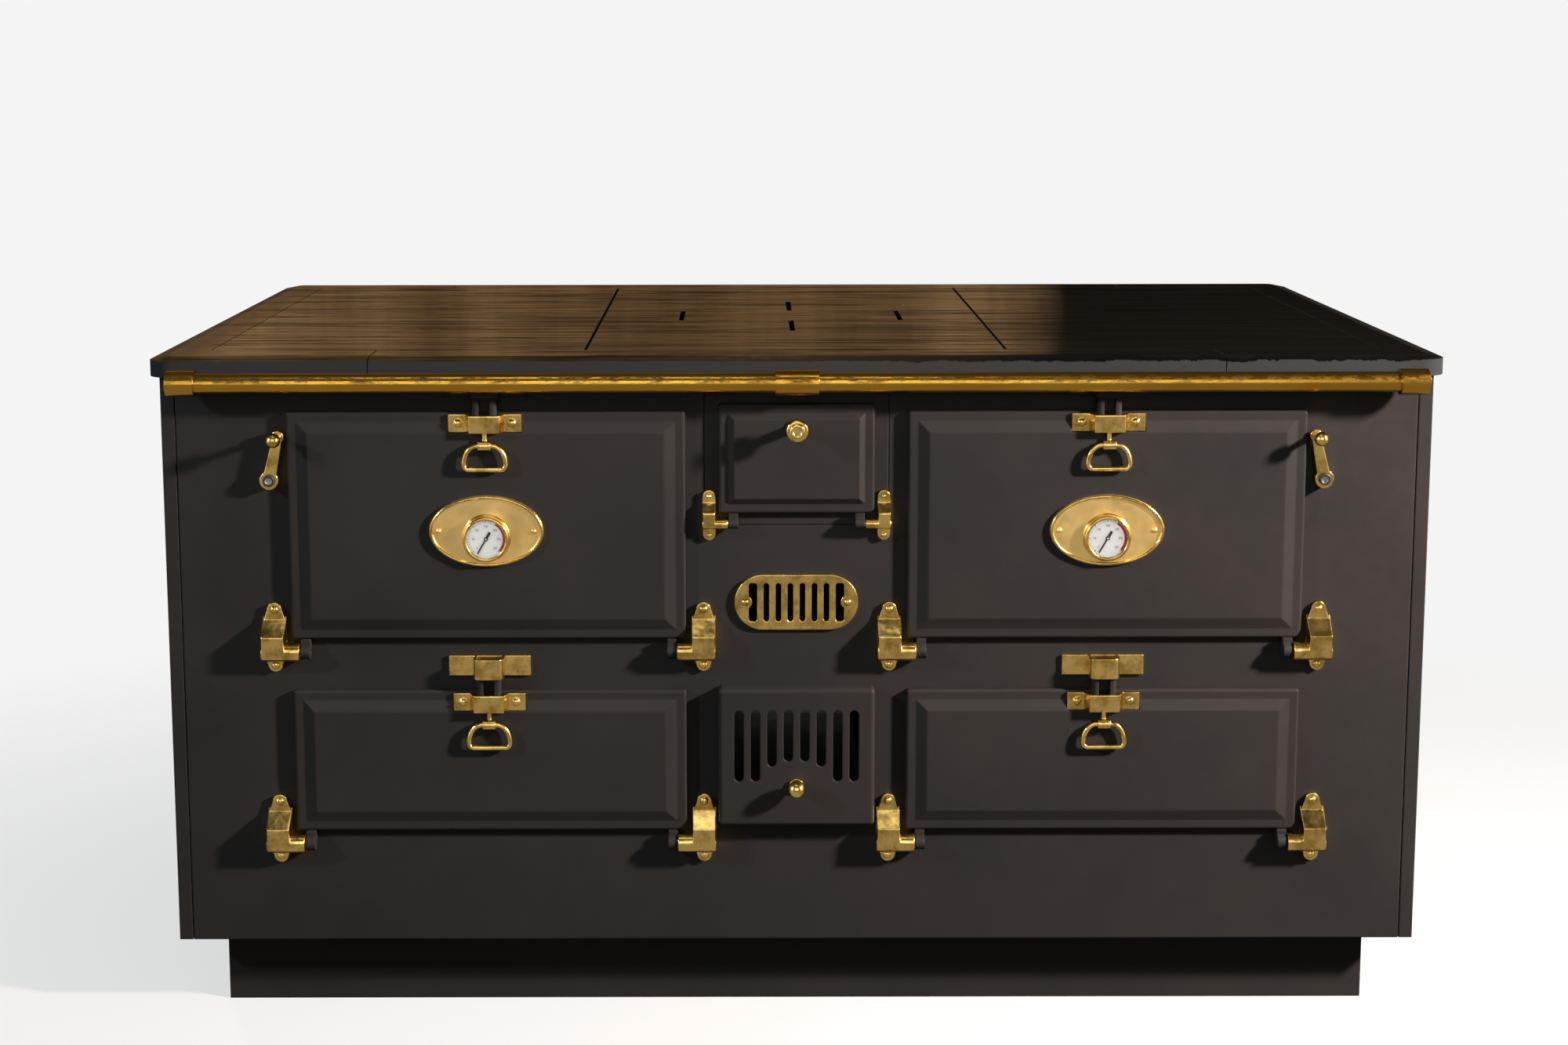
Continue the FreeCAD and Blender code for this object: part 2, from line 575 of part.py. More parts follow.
def hinge_bracket(kind, sign, edge, pivot_z):
    """A bracket beside a door's edge, which looks along sign; its arm carries the hinge pin."""
    gap, wide, arm = f"{kind}_bracket_gap", f"{kind}_bracket_wide", f"{kind}_arm"
    knuckle, up, down = f"{kind}_knuckle", f"{kind}_ear_up", f"{kind}_ear_down"

    def span(near, far):
        low, high = f"{edge} + {sign} * ({near})", f"{edge} + {sign} * ({far})"
        return (low, high) if sign > 0 else (high, low)

    across = span(gap, f"{gap} + {wide}")
    middle = f"{edge} + {sign} * ({gap} + {wide} / 2)"
    front = f"{PIVOT_Y} - {knuckle}"
    tip = f"{wide} / 2 * 0.6" if kind == "oven" else f"{wide} / 2 * 0.9"
    flat = (f"{FACE} - ear_thick", FACE)
    low_tip, high_tip = f"{pivot_z} - {down} + {tip}", f"{pivot_z} + {up} - ({tip})"
    ears = fuse(rod("y", tip, *flat, x=middle, z=low_tip), rod("y", tip, *flat, x=middle, z=high_tip),
                taper(about(middle, tip), flat, low_tip, across, flat, f"{pivot_z} - {knuckle} * 0.4"),
                taper(across, flat, f"{pivot_z} + {up} * 0.56", about(middle, tip), flat, high_tip))
    web = box(across, flat, (f"{pivot_z} - {knuckle} * 0.5", f"{pivot_z} + {up} * 0.57"))
    block = frustum(across, (pivot_z, f"{pivot_z} + {up} * 0.72"), f"{FACE} - 1",
                    span(f"{gap} + 1", f"{gap} + {wide} - 1"), (pivot_z, f"{pivot_z} + {up} * 0.34"), front)
    block = rounded(block, "ear_round",
                    lambda edge: edge.CenterOfMass.y < front_of(block) and edge.CenterOfMass.z > lowest(block))
    reach = span(f"{gap} - {arm}", f"{gap} + {wide}")
    roll = rod("x", knuckle, *reach, y=PIVOT_Y, z=pivot_z)
    roll = rounded(roll, "knuckle_round", lambda edge: len(edge.Vertexes) == 1)
    root = box(span(f"{gap} - {arm} + knuckle_round", f"{gap} + {wide} - knuckle_round"), (PIVOT_Y, FACE),
               about(pivot_z, f"{knuckle} - 0.2"))
    pin = rod("x", "pin_radius", *span(f"{gap} - {arm} - pin_long", gap), y=PIVOT_Y, z=pivot_z)
    head = "screw_head" if kind == "oven" else "fire_screw_head"
    low_screw = f"{pivot_z} - {down} + {tip} - 1"
    thick = "ear_thick + screw_bite"
    screws = [screw(middle, f"{pivot_z} + {up} - ({tip})", f"{FACE} - ear_thick", head, thick),
              screw(middle, low_screw, f"{FACE} - ear_thick", head, "ear_thick + screw_bite")]
    notch = rod("y", f"{head} + 1", f"{front} - 1", f"{FACE} - ear_thick", x=middle, z=low_screw)
    solid = fuse(ears, web, block, roll, root, pin)
    return cut(solid, notch, *[hole for _, hole in screws]), screws


def latch_strap(sign, high):
    """The strap that guides a latch bolt, and its two screws."""
    middle = f"{sign} * {DOOR_MIDDLE}"
    height = f"{high} - latch_drop"
    tall = about(height, "strap_tall / 2")
    feet = box(about(middle, "strap_wide / 2"), (f"{DOOR_FACE} - strap_foot", DOOR_FACE), tall)
    bridge = frustum(about(middle, "bridge_half"), tall, DOOR_FACE,
                     about(middle, "bridge_half - bridge_slope"), tall, f"{DOOR_FACE} - bridge_out")
    bridge = rounded(bridge, "bridge_round", lambda edge: edge.CenterOfMass.y < front_of(bridge))
    channel = box(about(middle, "bolt_half + bolt_play"),
                  (f"{DOOR_FACE} - bolt_deep - 2 * bolt_play", f"{DOOR_FACE} + 1"),
                  (f"{height} - strap_tall", f"{height} + strap_tall"))
    screws = [screw(f"{middle} + {end} * strap_screws / 2", height, f"{DOOR_FACE} - strap_foot",
                    bite="strap_foot + screw_bite - 1") for end in (-1, 1)]
    strap = cut(fuse(feet, bridge), channel, *[hole for _, hole in screws])
    return group(strap, *[piece for piece, _ in screws]), [hole for _, hole in screws]


def latch_bolt(sign, high):
    """The channelled bolt with its neck and the eye that carries the ring pull."""
    middle = f"{sign} * {DOOR_MIDDLE}"
    back = f"{DOOR_FACE} - bolt_play"
    tip = f"{high} + bolt_reach"
    block = box(about(middle, "bolt_half"), (f"{back} - bolt_deep", back), (f"{tip} - bolt_long", tip))
    block = rounded(block, "bolt_corner",
                    lambda edge: along(edge, "z") and edge.CenterOfMass.y < front_of(block))
    channel = box(about(middle, "bolt_channel"), (f"{back} - bolt_deep - 1", f"{back} - bolt_floor"),
                  (f"{tip} - bolt_long + bolt_floor", f"{tip} + 1"))
    neck_y = f"{back} - bolt_deep + neck_radius"
    neck_low = f"{tip} - bolt_long - neck_long"
    neck = rod("z", "neck_radius", neck_low, f"{tip} - bolt_long + 1", x=middle, y=neck_y)
    eye_y = f"{DOOR_FACE} - eye_out"
    eye_z = f"{high} - eye_drop"
    eye = rod("x", "eye_radius", *about(middle, "eye_half"), y=eye_y, z=eye_z)
    flare = taper(about(middle, "eye_half"), about(eye_y, "eye_radius - 1"), eye_z,
                  about(middle, "neck_radius"), about(neck_y, "neck_radius"), neck_low)
    bore = rod("x", "ring_wire + ring_room", *about(middle, "eye_half + 1"), y=eye_y, z=eye_z)
    return cut(fuse(cut(block, channel), neck, flare, eye), bore)


def front_of(thing):
    """A plane just behind the front face of a built object."""
    doc.recompute()
    return thing.Shape.BoundBox.YMin + 0.1


def ring_pull(sign, high):
    """A closed D of round wire: straight where it lies in the eye, then arched, over a straight bar."""
    wire = size("ring_wire")
    half = size("ring_half") - wire
    tall = size("ring_tall") - 2 * wire
    corner = size("ring_corner")
    near = corner * (1 - 0.5 ** 0.5)
    level = size("eye_half") + 1
    point = lambda x, z: FreeCAD.Vector(x, 0, z)
    shoulders = [point(side * half, -tall + corner) for side in (1, -1)]
    feet = [point(side * (half - corner), -tall) for side in (1, -1)]
    bends = [point(side * (half - near), -tall + near) for side in (1, -1)]
    tops = [point(side * level, 0) for side in (1, -1)]
    low = [Part.Arc(shoulders[0], bends[0], feet[0]), Part.LineSegment(feet[0], feet[1]),
           Part.Arc(feet[1], bends[1], shoulders[1])]
    bows = [Part.Ellipse(top, point(shoulder.x, shoulder.z), point(top.x, shoulder.z))
            for top, shoulder in zip(tops, shoulders)]
    quarters = [Part.ArcOfEllipse(bow, 0, 0.5 * pi) for bow in bows]
    arch = [quarters[0], Part.LineSegment(tops[0], tops[1]), quarters[1]]
    solids = [Part.makeSphere(wire, spot) for spot in shoulders]
    for curves in (low, arch):
        path = Part.Wire([curve.toShape() for curve in curves])
        section = Part.Wire([Part.makeCircle(wire, shoulders[0], FreeCAD.Vector(0, 0, 1))])
        solids.append(path.makePipeShell([section], True, True))
    ring = doc.addObject("Part::Feature", "ring")
    ring.Shape = solids[0].fuse(solids[1:])
    return place(ring, f"{sign} * {DOOR_MIDDLE}", f"{DOOR_FACE} - eye_out", f"{high} - eye_drop")


def keeper(sign, high, socket_tall):
    """The plate above a door, with the socket that the bolt slides up into."""
    middle = f"{sign} * {DOOR_MIDDLE}"
    low = f"{high} + keeper_lift"
    tall = (low, f"{low} + keeper_tall")
    plate = box(about(middle, "keeper_wide / 2"), (f"{FACE} - keeper_thick", FACE), tall)
    inner_front = f"{DOOR_FACE} - bolt_deep - 2 * bolt_play - 0.4"
    socket = box(about(middle, "socket_half"), (f"{inner_front} - socket_wall", f"{FACE} - 1"),
                 (low, f"{low} + {socket_tall}"))
    socket = rounded(socket, "socket_corner",
                     lambda edge: along(edge, "z") and edge.CenterOfMass.y < front_of(socket))
    hollow = box(about(middle, "socket_half - socket_wall"), (inner_front, f"{FACE} - keeper_thick"),
                 (f"{low} - 1", f"{low} + keeper_tall + 1"))
    hollow = rounded(hollow, "bolt_corner",
                     lambda edge: along(edge, "z") and edge.CenterOfMass.y < front_of(hollow))
    return cut(fuse(plate, socket), hollow)


def thermometer(side, sign):
    """Oval plate, case with white face, glass and needle on an oven door; and the holes they need."""
    middle = f"{sign} * {DOOR_MIDDLE}"
    plate_z = f"{OVEN_LOW} + plate_up"
    dial_z = f"{OVEN_LOW} + dial_up"
    seat = f"({PANEL_FACE} - plate_thick)"
    oval = doc.addObject("Part::Ellipse", "oval")
    bind(oval, "MajorRadius", "plate_half_wide")
    bind(oval, "MinorRadius", "plate_half_tall")
    oval.Placement = FreeCAD.Placement(FreeCAD.Vector(), FreeCAD.Rotation(FreeCAD.Vector(1, 0, 0), 90))
    place(oval, middle, PANEL_FACE, plate_z)
    plate = doc.addObject("Part::Extrusion", "oval_plate")
    plate.Base = oval
    plate.Dir = FreeCAD.Vector(0, -1, 0)
    plate.Solid = True
    bind(plate, "LengthFwd", "plate_thick")
    screws = [screw(f"{middle} + {end} * plate_screws / 2", plate_z, f"({seat} + plate_recess)",
                    "plate_screw_head", bite="plate_thick + screw_bite")
              for end in (-1, 1)]
    probe_hole = rod("y", "probe_radius + running_gap", f"{seat} - 1", f"{FACE} + probe_long",
                     x=middle, z=dial_z)
    inner = doc.addObject("Part::Ellipse", "oval")
    bind(inner, "MajorRadius", "plate_half_wide - plate_rim")
    bind(inner, "MinorRadius", "plate_half_tall - plate_rim")
    inner.Placement = FreeCAD.Placement(FreeCAD.Vector(), FreeCAD.Rotation(FreeCAD.Vector(1, 0, 0), 90))
    place(inner, middle, f"{seat} + plate_recess", plate_z)
    field = doc.addObject("Part::Extrusion", "oval_field")
    field.Base = inner
    field.Dir = FreeCAD.Vector(0, -1, 0)
    field.Solid = True
    bind(field, "LengthFwd", "plate_recess + 1")
    plate = cut(plate, field, probe_hole, *[hole for _, hole in screws])
    node("thermometer_plate_" + side, group(plate, *[piece for piece, _ in screws]))

    front = f"{seat} - case_deep"
    floor = f"{seat} - case_floor"
    drum = rod("y", "bezel_radius", front, f"{seat} + plate_recess", x=middle, z=dial_z)
    drum = rounded(drum, "bezel_round",
                   lambda edge: len(edge.Vertexes) == 1 and edge.CenterOfMass.y < front_of(drum))
    well = rod("y", "dial_radius + 0.5", f"{front} - 1", floor, x=middle, z=dial_z)
    probe = rod("y", "probe_radius", seat, f"{PANEL_FACE} + probe_long", x=middle, z=dial_z)
    axle = rod("y", "1", f"{floor} - 3", f"{floor} + 1", x=middle, z=dial_z)
    face = cut(rod("y", "dial_radius", f"{floor} - 0.8", floor, x=middle, z=dial_z),
               rod("y", "1.2", f"{floor} - 2", f"{floor} + 1", x=middle, z=dial_z))
    node("thermometer_case_" + side, group(fuse(cut(drum, well), probe, axle), face))
    glass = rod("y", "dial_radius + 0.4", f"{front} + 0.3", f"{front} + 0.3 + glass_thick", x=middle, z=dial_z)
    node("thermometer_glass_" + side, glass)

    hub = rod("y", "2.6", "-0.5", "0.5")
    blade = box(about("0", "0.9"), about("0", "0.4"), ("0", "needle_long"))
    tail = box(about("0", "1.6"), about("0", "0.4"), ("-needle_tail", "0"))
    needle = cut(fuse(hub, blade, tail), rod("y", "1 + running_gap", "-2", "2"))
    needle.Placement = FreeCAD.Placement(FreeCAD.Vector(), FreeCAD.Rotation(UP, 210))
    node("thermometer_needle_" + side, place(needle, middle, f"{floor} - 1.8", dial_z))
    return [probe_hole] + [hole for _, hole in screws]


def oven_rack(sign):
    """A wire rack: two side rods, two cross rods and wires from front to back."""
    middle = f"{sign} * {DOOR_MIDDLE}"
    height = f"{OVEN_LOW} + door_lap + rack_up"
    front = f"{BEHIND} + rack_back"
    back = f"{front} + rack_deep"
    rods = [rod("y", "rack_rod", front, back, x=f"{middle} + {end} * rack_half", z=height) for end in (-1, 1)]
    rods += [rod("x", "rack_rod", *about(middle, "rack_half"), y=f"{front} + rack_rod", z=height)]
    rods += [rod("x", "rack_rod", *about(middle, "rack_half"), y=f"{back} - rack_rod", z=height)]
    count = int(size("rack_wires"))
    for number in range(count):
        offset = f"({number + 1} * 2 / (rack_wires + 1) - 1) * rack_half"
        rods.append(rod("y", "rack_wire", f"{front} + rack_rod", f"{back} - rack_rod",
                        x=f"{middle} + {offset}", z=height))
    return fuse(*rods)


def doors():
    """The four drop-down doors with everything that they carry, and what holds them on the body."""
    brackets = []
    screws = []
    keepers = []
    for side, sign in SIDES:
        for kind, low, tall, socket in (("oven", OVEN_LOW, "oven_door_tall", "oven_socket_tall"),
                                        ("lower", LOWER_LOW, "lower_door_tall", "lower_socket_tall")):
            high = f"({low} + {tall})"
            plate, holes = door_plate(sign, low, tall)
            strap, strap_holes = latch_strap(sign, high)
            node(f"{kind}_strap_{side}", strap)
            holes += strap_holes
            if kind == "oven":
                holes += thermometer(side, sign)
                node("oven_rack_" + side, oven_rack(sign))
            node(f"{kind}_door_{side}", cut(plate, *holes))
            node(f"{kind}_bolt_{side}", latch_bolt(sign, high))
            node(f"{kind}_ring_{side}", ring_pull(sign, high))
            keepers.append(keeper(sign, high, socket))
            for end in (-1, 1):
                edge = f"({sign} * {DOOR_MIDDLE} + {end} * door_width / 2)"
                bracket, pair = hinge_bracket("oven", end, edge, f"({low} - oven_pivot_drop)")
                brackets.append(bracket)
                screws += pair
    node("latch_keepers", group(*keepers))
    return brackets, screws


def fire_door():
    """The fire door with its knob and tongue, and its two brackets."""
    high = f"({FIRE_LOW} + fire_tall)"
    block = box(about("0", "fire_half"), (DOOR_FACE, f"{FACE} - door_gap"), (FIRE_LOW, high))
    plate = soft_plate(block, "door_edge")
    inner = "fire_border + fire_bevel"
    panel = frustum(
        about("0", "fire_half - fire_border"), (f"{FIRE_LOW} + fire_border", f"{high} - fire_border"), DOOR_FACE,
        about("0", f"fire_half - ({inner})"), (f"{FIRE_LOW} + {inner}", f"{high} - ({inner})"), PANEL_FACE)
    lining = box(about("0", "fire_half - fire_lap - plug_gap"),
                 (f"{FACE} - door_gap", f"{FACE} - door_gap + plug_depth"),
                 (f"{FIRE_LOW} + fire_lap + plug_gap", f"{high} - fire_lap - plug_gap"))
    pivot_z = f"({FIRE_LOW} - fire_pivot_drop)"
    spindle = (f"{PANEL_FACE} - 1", f"{BEHIND} + 1")
    bores = [rod("y", SHAFT_BORE, *spindle, z=FIRE_KNOB_Z)]
    lugs = []
    for end in (-1, 1):
        edge = f"{end} * (fire_half - (fire_arm - fire_bracket_gap) - side_play"
        span = (f"{edge} - lug_wide)", f"{edge})") if end > 0 else (f"{edge})", f"{edge} - lug_wide)")
        lugs.append(rod("x", "fire_lug_radius", *span, y=PIVOT_Y, z=pivot_z))
        lugs.append(box(span, (PIVOT_Y, f"{FACE} - door_gap - 1"), (pivot_z, FIRE_LOW)))
        bore = (f"({span[0]}) - 1", f"({span[1]}) + 1")
        bores.append(rod("x", "pin_radius + running_gap", *bore, y=PIVOT_Y, z=pivot_z))
    node("fire_door", cut(fuse(plate, panel, lining, *lugs), *bores))

    knob_y = f"({FACE} - fire_knob_out)"
    tongue_y = (f"{BEHIND} + 2", f"{BEHIND} + 7")
    at = {"z": FIRE_KNOB_Z}
    head = rod("y", "fire_knob_radius", f"{knob_y} + 0.8", f"{knob_y} + fire_knob_head", **at)
    head = rounded(head, "fire_knob_round", lambda edge: len(edge.Vertexes) == 1)
    stud = rod("y", "fire_knob_radius * 0.55", knob_y, f"{knob_y} + 2", **at)
    neck = rod("y", "fire_knob_neck", f"{knob_y} + 3", f"{PANEL_FACE} - side_play", **at)
    back = f"{PANEL_FACE} - side_play"
    flange = rod("y", "fire_knob_neck * 1.6", f"{back} - 3", back, **at)
    spindle = rod("y", "shaft_radius", f"{knob_y} + 3", tongue_y[0], **at)
    node("fire_knob", fuse(head, stud, neck, flange, spindle))
    tongue = box(("-tongue_long", "shaft_radius"), tongue_y, about(FIRE_KNOB_Z, "5"))
    node("fire_latch", tongue)

    brackets = []
    screws = []
    for end in (-1, 1):
        bracket, pair = hinge_bracket("fire", end, f"({end} * fire_half)", pivot_z)
        brackets.append(bracket)
        screws += pair
    opening = (about("0", "fire_half - fire_lap"), (f"{FIRE_LOW} + fire_lap", f"{high} - fire_lap"))
    surround = box(about("0", "surround_half"), (FACE, BEHIND), (SURROUND_LOW, f"{UNDER_TOP} - side_play"))
    window = box(opening[0], (f"{FACE} - 1", f"{BEHIND} + 1"), opening[1])
    node("fire_door_frame", cut(surround, window, *[hole for _, hole in screws]))
    return brackets, screws


# ----------------------------------------------------------------------------- front furniture

def slot(x, low, high, half, y):
    """An upright slot with round ends."""
    ends = [rod("y", half, *y, x=x, z=f"{low} + {half}"), rod("y", half, *y, x=x, z=f"{high} - ({half})")]
    return fuse(box(about(x, half), y, (f"{low} + {half}", f"{high} - ({half})")), *ends)


def stadium(middle_z, half_long, half_tall, y):
    """A lying slot with round ends, centred on the cooker."""
    ends = [rod("y", half_tall, *y, x=f"{sign} * (({half_long}) - ({half_tall}))", z=middle_z)
            for _, sign in SIDES]
    return fuse(box(about("0", f"({half_long}) - ({half_tall})"), y, about(middle_z, half_tall)), *ends)


def vent():
    """The grille over the air inlet; its end slots give way to the lands of the screws."""
    seat = f"{FACE} - vent_thick"
    body = stadium(VENT_Z, "vent_long / 2", "vent_tall / 2", (seat, FACE))
    through = (f"{seat} - 1", f"{FACE} + 1")
    half_tall = "vent_slot_tall / 2"
    slots = [slot(f"{place_number} * vent_pitch", f"{VENT_Z} - {half_tall}", f"{VENT_Z} + {half_tall}",
                  "vent_slot_wide / 2", through) for place_number in (-2.5, -1.5, -0.5, 0.5, 1.5, 2.5)]
    screws = []
    for _, sign in SIDES:
        x = f"{sign} * vent_screws / 2"
        inner = "3.5 * vent_pitch - vent_slot_wide / 2"
        opening = box(outward(sign, inner, f"{inner} + vent_end_wide"), through, about(VENT_Z, half_tall))
        opening = rounded(opening, "vent_corner", lambda edge: along(edge, "y"))
        slots.append(cut(opening, rod("y", "vent_boss", f"{seat} - 2", f"{FACE} + 2", x=x, z=VENT_Z)))
        screws.append(screw(x, VENT_Z, seat, "vent_screw_head", "vent_thick + screw_bite"))
    node("vent_grille", cut(body, *slots, *[hole for _, hole in screws]))
    return screws


def ash_drawer():
    """The slotted hollow front, the sheet pan behind it and the knob."""
    high = f"({ASH_LOW} + ash_tall)"
    front = f"{FACE} - ash_out"
    shell = box(about("0", "ash_half"), (front, f"{FACE} - side_play"), (ASH_LOW, high))
    shell = rounded(shell, "ash_edge",
                    lambda edge: edge.CenterOfMass.y < panel_back(shell))
    hollow = box(about("0", "ash_half - ash_wall"), (f"{front} + ash_wall", f"{FACE} + 1"),
                 (f"{ASH_LOW} + ash_wall", f"{high} - ash_wall"))
    y = (f"{front} - 1", f"{front} + ash_wall + 1")
    lengths = ("ash_slot_short", "ash_slot_mid", "ash_slot_long", "ash_slot_long")
    slots = [slot(f"{sign} * ({number} + 0.5) * ash_pitch", f"{high} - ash_slot_drop - {length}",
                  f"{high} - ash_slot_drop", "ash_slot_wide / 2", y)
             for _, sign in SIDES for number, length in enumerate(lengths)]
    bore = rod("y", "screw_shank + running_gap", *y, z=ASH_KNOB_Z)
    node("ash_front", cut(shell, hollow, *slots, bore))

    inside = f"{front} + ash_wall"
    outer = box(about("0", "pan_half"), (inside, f"{inside} + pan_long"), (PAN_LOW, f"{PAN_LOW} + pan_tall"))
    tray = box(about("0", "pan_half - pan_wall"), (f"{inside} + pan_wall", f"{inside} + pan_long - pan_wall"),
               (f"{PAN_LOW} + pan_wall", f"{PAN_LOW} + pan_tall + 1"))
    bolt_hole = rod("y", "screw_shank + running_gap + 3", f"{inside} - 1", f"{inside} + pan_wall + 1",
                    z=ASH_KNOB_Z)
    node("ash_pan", cut(outer, tray, bolt_hole))

    knob_y = f"({FACE} - ash_knob_out)"
    knob = fuse(ball("ash_knob_radius", "0", knob_y, ASH_KNOB_Z),
                rod("y", "5", knob_y, front, z=ASH_KNOB_Z),
                rod("y", "9", f"{front} - 4", front, z=ASH_KNOB_Z),
                rod("y", "screw_shank", front, f"{front} + ash_wall", z=ASH_KNOB_Z))
    node("ash_knob", knob)


def hexagon(front):
    """The socket of a hexagon key."""
    prism = doc.addObject("Part::Prism", "hexagon")
    prism.Polygon = 6
    prism.Placement = FreeCAD.Placement(FreeCAD.Vector(), TURNS["y"])
    bind(prism, "Circumradius", "hex_half * 1.155")
    bind(prism, "Height", "3")
    return place(prism, "0", front, "0")


def cranks():
    """The two crank levers with their damper shafts, and the baffles that the dampers close."""
    baffles = []
    for side, sign in SIDES:
        hub = rod("y", "crank_hub", "-crank_deep", "-side_play")
        depth = ("-crank_deep", "crank_thick - crank_deep")
        arm = taper(about("0", "crank_root"), depth, "0", about("0", "crank_tip"), depth, "crank_arm")
        tip = rod("y", "crank_tip * 1.35", "-crank_deep - 1", "crank_thick - crank_deep", z="crank_arm")
        stem = rod("y", "crank_thick / 2", "handle_radius - handle_out", "-crank_deep", z="crank_arm")
        head = ball("handle_radius", "0", "handle_radius - handle_out", "crank_arm")
        bore = rod("y", SHAFT_BORE, "-crank_deep - 1", "1")
        lever = cut(fuse(hub, arm, tip, stem, head), bore)
        lever.Placement = FreeCAD.Placement(FreeCAD.Vector(), FreeCAD.Rotation(UP, -sign * size("crank_lean")))
        x = f"{sign} * {CRANK_X}"
        node("crank_lever_" + side, place(lever, x, FACE, CRANK_Z))

        shaft = rod("y", "shaft_radius", "-crank_deep - 1", "shaft_end")
        cap = rod("y", "cap_radius", "-crank_deep - 3.5", "-crank_deep - 0.2")
        cap = cut(cap, hexagon("-crank_deep - 4"))
        flap = box(about("0", "flap_thick / 2"), ("flap_front", "flap_front + flap_long"), about("0", "flap_half"))
        damper = fuse(shaft, cap, flap)
        node("damper_" + side, place(damper, x, FACE, CRANK_Z))

        top = f"{CRANK_Z} - baffle_drop"
        front = f"{FACE} + flap_front - baffle_room"
        back = f"{FACE} + flap_front + flap_long + baffle_room"
        inner = f"{DOOR_MIDDLE} + door_width / 2 - door_lap + oven_wall"
        plate = box(outward(sign, inner, f"{HALF_BODY} - side_thick"), (f"{front} - baffle_margin",
                    f"{back} + baffle_margin"), (f"{top} - baffle_thick", top))
        window = box(about(x, "flap_half + baffle_room"), (front, back),
                     (f"{top} - baffle_thick - 1", f"{top} + 1"))
        post = box(about(x, "2 * shaft_radius"), (f"{back} + 4", f"{back} + 12"), (f"{top} - 1",
                   f"{CRANK_Z} + 2 * shaft_radius"))
        bearing = rod("y", SHAFT_BORE, f"{back}", f"{back} + 20", x=x, z=CRANK_Z)
        baffles.append(cut(fuse(cut(plate, window), post), bearing))
    node("flue_baffles", group(*baffles))


def hand_rail():
    """Tube, end caps and centre collar, and the brackets that hold the tube on the front."""
    y = f"({FACE} - rail_out)"
    at = {"y": y, "z": RAIL_Z}
    tube_half = f"{RAIL_HALF} - 4"
    tube = cut(rod("x", "rail_radius", f"-({tube_half})", tube_half, **at),
               rod("x", "rail_radius - rail_wall", f"-{RAIL_HALF}", RAIL_HALF, **at))
    sleeve = rod("x", "rail_radius + running_gap", f"-({tube_half}) - side_play", f"{tube_half} + side_play", **at)
    fittings = [rod("x", "rail_fitting", *outward(sign, f"{RAIL_HALF} - rail_cap", RAIL_HALF), **at)
                for _, sign in SIDES]
    fittings.append(rod("x", "rail_fitting", *about("0", "rail_collar / 2"), **at))
    node("hand_rail", group(tube, *[cut(fitting, sleeve) for fitting in fittings]))
    brackets = []
    for x in (f"-{RAIL_SUPPORT}", RAIL_SUPPORT):
        foot = box(about(x, "16"), (f"{FACE} - 4", FACE), (f"{RAIL_Z} - 19", f"{UNDER_TOP} - side_play"))
        arm = box(about(x, "9"), (y, f"{FACE} - 3"), (f"{RAIL_Z} - 9", f"{RAIL_Z} + 3"))
        brackets.append(cut(fuse(foot, arm), rod("x", "rail_radius + running_gap", *about(x, "20"), **at)))
    arm = box(about("0", "9"), (y, FACE), (f"{RAIL_Z} - 6", f"{RAIL_Z} + 3"))
    brackets.append(cut(arm, rod("x", "rail_fitting + running_gap", *about("0", "20"), **at)))
    node("rail_brackets", group(*brackets))


# ------------------------------------------------------------------------------------------- body

def front_frame(holes):
    """The front casting with the openings behind the doors, the vent and the ash drawer."""
    through = (f"{FACE} - 1", f"{BEHIND} + 1")
    plate = box(about("0", f"{HALF_BODY} - corner_strip"), (FACE, BEHIND), ("plinth_tall", UNDER_TOP))
    openings = []
    for _, sign in SIDES:
        across = about(f"{sign} * {DOOR_MIDDLE}", "door_width / 2 - door_lap")
        openings.append(box(across, through, door_opening(OVEN_LOW, "oven_door_tall")))
        openings.append(box(across, through, door_opening(LOWER_LOW, "lower_door_tall")))
        openings.append(rod("y", SHAFT_BORE, *through, x=f"{sign} * {CRANK_X}", z=CRANK_Z))
    openings.append(box(about("0", "surround_half + seam_gap / 2"), through,
                        (f"{SURROUND_LOW} - seam_gap / 2", "worktop_height")))
    openings.append(box(about("0", "vent_screws / 2 - screw_shank - 1.4"), through,
                        about(VENT_Z, "vent_slot_tall / 2 + 1")))
    openings.append(box(about("0", "ash_half - ash_lap"), through,
                        (f"{ASH_LOW} + ash_lap", f"{ASH_LOW} + ash_tall - ash_lap")))
    node("front_frame", cut(plate, *openings, *holes))


